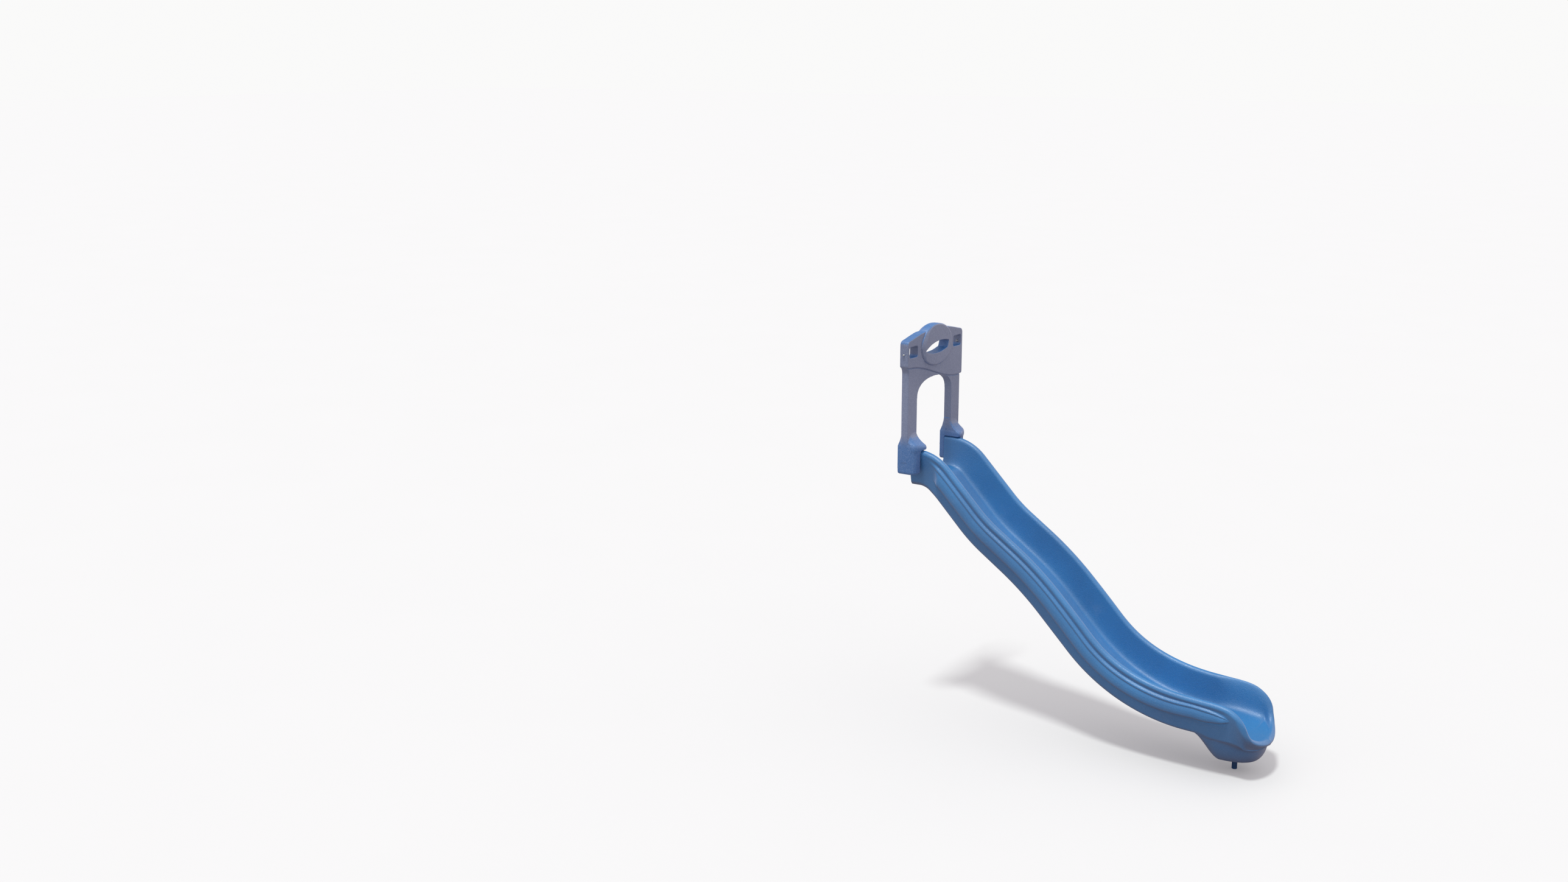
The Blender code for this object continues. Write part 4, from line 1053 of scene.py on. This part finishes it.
def bolt_mesh(seat, axis, length):
    """A button-head socket bolt. The head's underside is on the seat, and axis leads to its tip."""
    head = HEAD_HEIGHT
    steps = [
        (-head + SOCKET_DEPTH, SOCKET_RADIUS, True),
        (-head + 0.0004, SOCKET_RADIUS, True),
        (-head, SOCKET_RADIUS + 0.0004, True),
    ]
    for i in range(7):
        a = pi / 2 * i / 6
        steps.append((-head * (0.22 + 0.78 * cos(a)), HEAD_RADIUS * (0.55 + 0.45 * sin(a))))
    steps += [(-BREAK, HEAD_RADIUS), (0, HEAD_RADIUS - BREAK), (0, BOLT_RADIUS)]
    along = THREAD_START
    while along < length - 0.0025:
        steps.append((along, BOLT_RADIUS))
        steps.append((along + THREAD_PITCH / 2, BOLT_RADIUS - THREAD_DEPTH))
        along += THREAD_PITCH
    steps += [(length - 0.001, BOLT_RADIUS), (length, BOLT_RADIUS - 0.001)]
    return bridge(turned_loops(seat, axis, steps, FINE_SEGMENTS))


def washer_mesh(seat, axis):
    inner = BOLT_RADIUS + GAP
    far = -WASHER_THICKNESS
    steps = (
        (-BREAK, inner), (far + BREAK, inner), (far, inner + BREAK),
        (far, WASHER_RADIUS - BREAK), (far + BREAK, WASHER_RADIUS), (-BREAK, WASHER_RADIUS),
        (0, WASHER_RADIUS - BREAK), (0, inner + BREAK),
    )
    return bridge(turned_loops(seat, axis, steps, FINE_SEGMENTS), closed_tube=True)


def stand_for(made, node, slot):
    """The piece takes the look and the place of a CAD node."""
    made.data.materials.append(look(slot))
    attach(made, "root")
    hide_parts(node)


def fastener(kind, label, seat, axis, length):
    """A washer and a bolt that stand for the CAD nodes of the same names."""
    for part, bm in (
        ("washer", washer_mesh(seat, axis)),
        ("bolt", bolt_mesh(seat - axis * (WASHER_THICKNESS + GAP), axis, length)),
    ):
        node = f"{kind}_{part}_{label}"
        stand_for(mesh_object(f"turned_{node}", shifted(bm), 30.0), node, "steel")


def make_fasteners():
    for number, seat in enumerate(plate_corners(PLATE_BOTTOM_Z - GAP), 1):
        fastener("support", number, seat, UP, SUPPORT_BOLT_LENGTH)
    number = 0
    for side, label in ((-1, "near"), (1, "far")):
        for z in HOOD_BOLT_Z:
            number += 1
            seat = Vector((BOOT_BACK_X - GAP, side * HOOD_BOLT_Y, z))
            fastener("hood", number, seat, FORWARD, HOOD_BOLT_LENGTH)
        seat = Vector((POST_BOLT_X, side * (WINDOW_Y[1] - GAP), POST_BOLT_Z))
        reach = POST_BOLT_REACH - abs(seat.y) + WASHER_THICKNESS + GAP
        fastener("post", label, seat, ACROSS * side, reach)


def make_tube():
    """The steel stub, with the cut end's edges broken."""
    top = PLATE_BOTTOM_Z - GAP
    bore = TUBE_RADIUS - TUBE_WALL
    edge = 2 * BREAK
    steps = (
        (edge, bore), (0, bore + edge), (0, TUBE_RADIUS - edge), (edge, TUBE_RADIUS),
        (top, TUBE_RADIUS), (top, bore),
    )
    loops = turned_loops(Vector((SUPPORT_X, 0, 0)), UP, steps, TUBE_SEGMENTS)
    made = mesh_object("stub_post", shifted(bridge(loops, closed_tube=True)))
    stand_for(made, "support_tube", "powder_blue")


# ---- Materials


class Nodes:
    """Short calls for building a material's node tree."""

    def __init__(self, name):
        self.material = bpy.data.materials.new(name)
        self.material.use_nodes = True
        self.tree = self.material.node_tree
        self.shader = self.tree.nodes["Principled BSDF"]
        self.place = self.add("TexCoord").outputs["Object"]

    def feed(self, socket, value):
        """A socket takes a number, a vector, a colour without its alpha, or a link."""
        if isinstance(value, (float, tuple)):
            socket.default_value = (*value, 1.0) if socket.type == "RGBA" else value
        else:
            self.tree.links.new(value, socket)

    def add(self, kind, inputs=(), **settings):
        node = self.tree.nodes.new("ShaderNode" + kind)
        for key, value in settings.items():
            setattr(node, key, value)
        for key, value in inputs:
            self.feed(node.inputs[key], value)
        return node

    def noise(self, scale, detail=2.0, roughness=0.5, stretch=None):
        place = self.place
        if stretch:
            inputs = (("Vector", place), ("Scale", stretch))
            place = self.add("Mapping", inputs).outputs["Vector"]
        inputs = (("Vector", place), ("Scale", scale), ("Detail", detail), ("Roughness", roughness))
        return self.add("TexNoise", inputs).outputs["Fac"]

    def remap(self, value, low, high, to_low=0.0, to_high=1.0, soft=False):
        inputs = (("Value", value), ("From Min", low), ("From Max", high), ("To Min", to_low),
                  ("To Max", to_high))
        kind = "SMOOTHSTEP" if soft else "LINEAR"
        return self.add("MapRange", inputs, interpolation_type=kind).outputs["Result"]

    def blend(self, share, first, second):
        node = self.add("Mix", data_type="RGBA")
        first_socket, second_socket = [i for i in node.inputs if i.type == "RGBA"]
        self.feed(node.inputs["Factor"], share)
        self.feed(first_socket, first)
        self.feed(second_socket, second)
        return [o for o in node.outputs if o.type == "RGBA"][0]

    def math(self, operation, first, second):
        node = self.add("Math", ((0, first), (1, second)), operation=operation)
        return node.outputs["Value"]

    def height(self):
        return self.add("SeparateXYZ", (("Vector", self.place),)).outputs["Z"]

    def facing(self, direction):
        """The cosine of the angle between the surface and a direction."""
        normal = self.add("NewGeometry").outputs["Normal"]
        inputs = ((0, normal), (1, tuple(direction)))
        return self.add("VectorMath", inputs, operation="DOT_PRODUCT").outputs["Value"]

    def camera_ray(self):
        return self.add("LightPath").outputs["Is Camera Ray"]

    def bump(self, *layers):
        """Height layers of (value, strength, distance), the last one on top."""
        below = ()
        for value, strength, distance in layers:
            inputs = (("Strength", strength), ("Distance", distance), ("Height", value), *below)
            below = (("Normal", self.add("Bump", inputs).outputs["Normal"]),)
        self.set("Normal", below[0][1])

    def set(self, key, value):
        self.feed(self.shader.inputs[key], value)


def plastic(name, lit, painted_shade, painted_shade_range, roughness, grain, low=None):
    """Moulded polyethylene: a grained skin with painted light and shade. The colour is the lit copy
    where the surface faces the sun and goes over to a greyer painted shade and sheen where it faces
    away.

    The grain is (size per metre, how deep it is, how much it shows in the colour). With low, the
    colour goes over to the painted lit one below that range of heights, whichever way it faces."""
    n = Nodes(name)
    size, depth, contrast = grain
    # Painted shade: the mix between the shaded and lit copies follows how the surface faces the
    # sun, not the light that reaches it
    facing = n.remap(n.facing(SUN_FROM), *painted_shade_range, soft=True)
    # Painted light: below the heights in low the colour is the lit copy
    if low:
        facing = n.math("MAXIMUM", facing, n.remap(n.height(), *low, 1.0, 0.0, soft=True))
    colour = n.blend(facing, painted_shade, lit)
    cloudy = n.noise(2.3, 4.0)
    colour = n.blend(n.remap(cloudy, 0.35, 0.65, 0.0, 0.22), colour, (0.02, 0.06, 0.18))
    speck = n.noise(size * 1.3, 2.0, 0.7)
    colour = n.blend(n.remap(speck, 0.50, 0.66, 0.0, contrast), colour, (0.60, 0.64, 0.76))
    colour = n.blend(n.remap(speck, 0.50, 0.34, 0.0, contrast), colour, (0.01, 0.04, 0.12))
    scuff = n.noise(9.0, 8.0, 0.72, None if low else (0.35, 3.0, 0.35))
    colour = n.blend(n.remap(scuff, 0.60, 0.78, 0.0, 0.16), colour, (0.30, 0.42, 0.60))
    n.set("Base Color", colour)
    worn = n.noise(46.0, 5.0, 0.6)
    n.set("Roughness", n.remap(worn, 0.3, 0.7, roughness - 0.05, roughness + 0.09))
    level = n.facing(UP)
    n.set("Specular IOR Level", n.remap(level, 0.84, 0.97, 0.95, 0.40, soft=True))
    above = n.remap(level, 0.84, 0.97, 0.55, 0.0, soft=True)
    below = n.remap(level, -0.85, -0.15, 0.25, 1.0, soft=True)
    n.set("Sheen Weight", n.math("MULTIPLY", above, below))
    n.set("Sheen Roughness", 0.45)
    n.set("Sheen Tint", (0.92, 0.82, 0.90))
    n.bump((n.noise(14.0, 3.0), 0.20, 0.0035), (n.noise(size, 3.0, 0.6), 0.80, depth))
    return n.material


def painted(name, colour):
    """Powder coat: fine orange peel and chalky specks."""
    n = Nodes(name)
    peel = n.remap(n.noise(60.0, 4.0), 0.4, 0.7, 0.0, 0.35)
    mixed = n.blend(peel, colour, tuple(c * 1.7 for c in colour))
    chalk = n.remap(n.noise(420.0, 3.0, 0.7), 0.60, 0.74, 0.0, 0.3)
    n.set("Base Color", n.blend(chalk, mixed, (0.25, 0.32, 0.42)))
    n.set("Metallic", 0.1)
    n.set("Roughness", n.remap(n.noise(85.0, 4.0), 0.3, 0.7, 0.36, 0.52))
    n.bump((n.noise(600.0, 2.0), 0.4, 0.0003))
    return n.material


def metal(name, colour, dull, roughness, grain):
    """Bright metal with a turned grain, dulled in patches."""
    n = Nodes(name)
    patches = n.remap(n.noise(130.0, 5.0, 0.65), 0.42, 0.68, 0.0, 0.6)
    n.set("Base Color", n.blend(patches, colour, dull))
    n.set("Metallic", 1.0)
    worn = n.noise(240.0, 4.0)
    n.set("Roughness", n.remap(worn, 0.3, 0.7, roughness - 0.08, roughness + 0.14))
    n.bump((n.noise(grain, 3.0, 0.6), 0.35, 0.00012))
    return n.material


@lru_cache(maxsize=None)
def look(slot):
    """The material of one of the record's slots."""
    if slot == "chute_blue":
        # Lit blue where it faces the sun, and a darker grey-blue painted shade where it faces away
        return plastic("chute_plastic", (0.030, 0.225, 0.540), (0.060, 0.120, 0.262),
                       (-0.34, 0.34), 0.41, (130.0, 0.0022, 0.06))
    if slot == "hood_blue":
        # Lit blue where it faces the sun, a grey-lilac painted shade and sheen where it faces away,
        # and the boots painted lit below 2.06 to 2.19 m
        return plastic("hood_plastic", (0.050, 0.190, 0.490), (0.225, 0.268, 0.410),
                       (0.28, 0.72), 0.44, (110.0, 0.0024, 0.15), low=(2.06, 2.19))
    if slot == "powder_blue":
        return painted("powder_coat", (0.016, 0.062, 0.175))
    if slot == "steel":
        return metal("zinc_steel", (0.56, 0.57, 0.58), (0.34, 0.34, 0.35), 0.30, 900.0)
    return metal("brass", (0.62, 0.46, 0.20), (0.36, 0.27, 0.13), 0.34, 800.0)


def dress_cad():
    """The CAD nodes that stay in view take the procedural materials of their slots."""
    for name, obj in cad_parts.items():
        slot = "brass" if "insert" in name else "powder_blue" if name == "support_plate" else None
        if slot:
            obj.data.materials.clear()
            obj.data.materials.append(look(slot))


# ---- Set


def make_floor():
    bm = bmesh.new()
    bmesh.ops.create_grid(bm, x_segments=8, y_segments=8, size=150.0)
    floor = mesh_object("floor", bm)
    n = Nodes("floor_white")
    pale = n.blend(n.remap(n.noise(0.8, 3.0), 0.3, 0.7), *FLOOR_PALE)
    seen = n.camera_ray()
    n.set("Base Color", n.blend(seen, FLOOR_BOUNCE, pale))
    n.set("Emission Color", n.blend(seen, (0.0, 0.0, 0.0), FLOOR_GLOW))
    n.set("Emission Strength", 1.0)
    n.set("Roughness", 0.95)
    n.set("Specular IOR Level", 0.0)
    floor.data.materials.append(n.material)


def make_light():
    sun = bpy.data.lights.new("sun", "SUN")
    sun.energy = SUN_POWER
    sun.angle = radians(8.0)
    sun.color = SUN_COLOUR
    lamp = in_scene("sun", sun)
    lamp.rotation_mode = "QUATERNION"
    lamp.rotation_quaternion = SUN_FROM.to_track_quat("Z", "Y")
    world = bpy.data.worlds.new("studio")
    world.use_nodes = True
    bpy.context.scene.world = world
    nodes, link = world.node_tree.nodes, world.node_tree.links.new
    lit, seen = nodes["Background"], nodes.new("ShaderNodeBackground")
    lit.inputs["Color"].default_value = SKY_COLOUR
    lit.inputs["Strength"].default_value = SKY_POWER
    seen.inputs["Color"].default_value = BACKDROP
    chooser = nodes.new("ShaderNodeMixShader")
    link(nodes.new("ShaderNodeLightPath").outputs["Is Camera Ray"], chooser.inputs["Fac"])
    link(lit.outputs["Background"], chooser.inputs[1])
    link(seen.outputs["Background"], chooser.inputs[2])
    link(chooser.outputs["Shader"], nodes["World Output"].inputs["Surface"])


def make_camera():
    data = bpy.data.cameras.new("view")
    data.lens = CAMERA_LENS
    data.sensor_width = 36.0
    data.clip_end = 400.0
    camera = in_scene("view", data)
    camera.location = CAMERA_AT
    camera.rotation_euler = (radians(90 - CAMERA_DOWN), 0, radians(CAMERA_BEARING))
    bpy.context.scene.camera = camera


def main():
    bpy.context.scene.view_settings.view_transform = "Standard"
    stand_for(make_chute(), "slide_chute", "chute_blue")
    stand_for(make_hood(), "entry_hood", "hood_blue")
    make_tube()
    make_fasteners()
    dress_cad()
    make_floor()
    make_light()
    make_camera()


main()
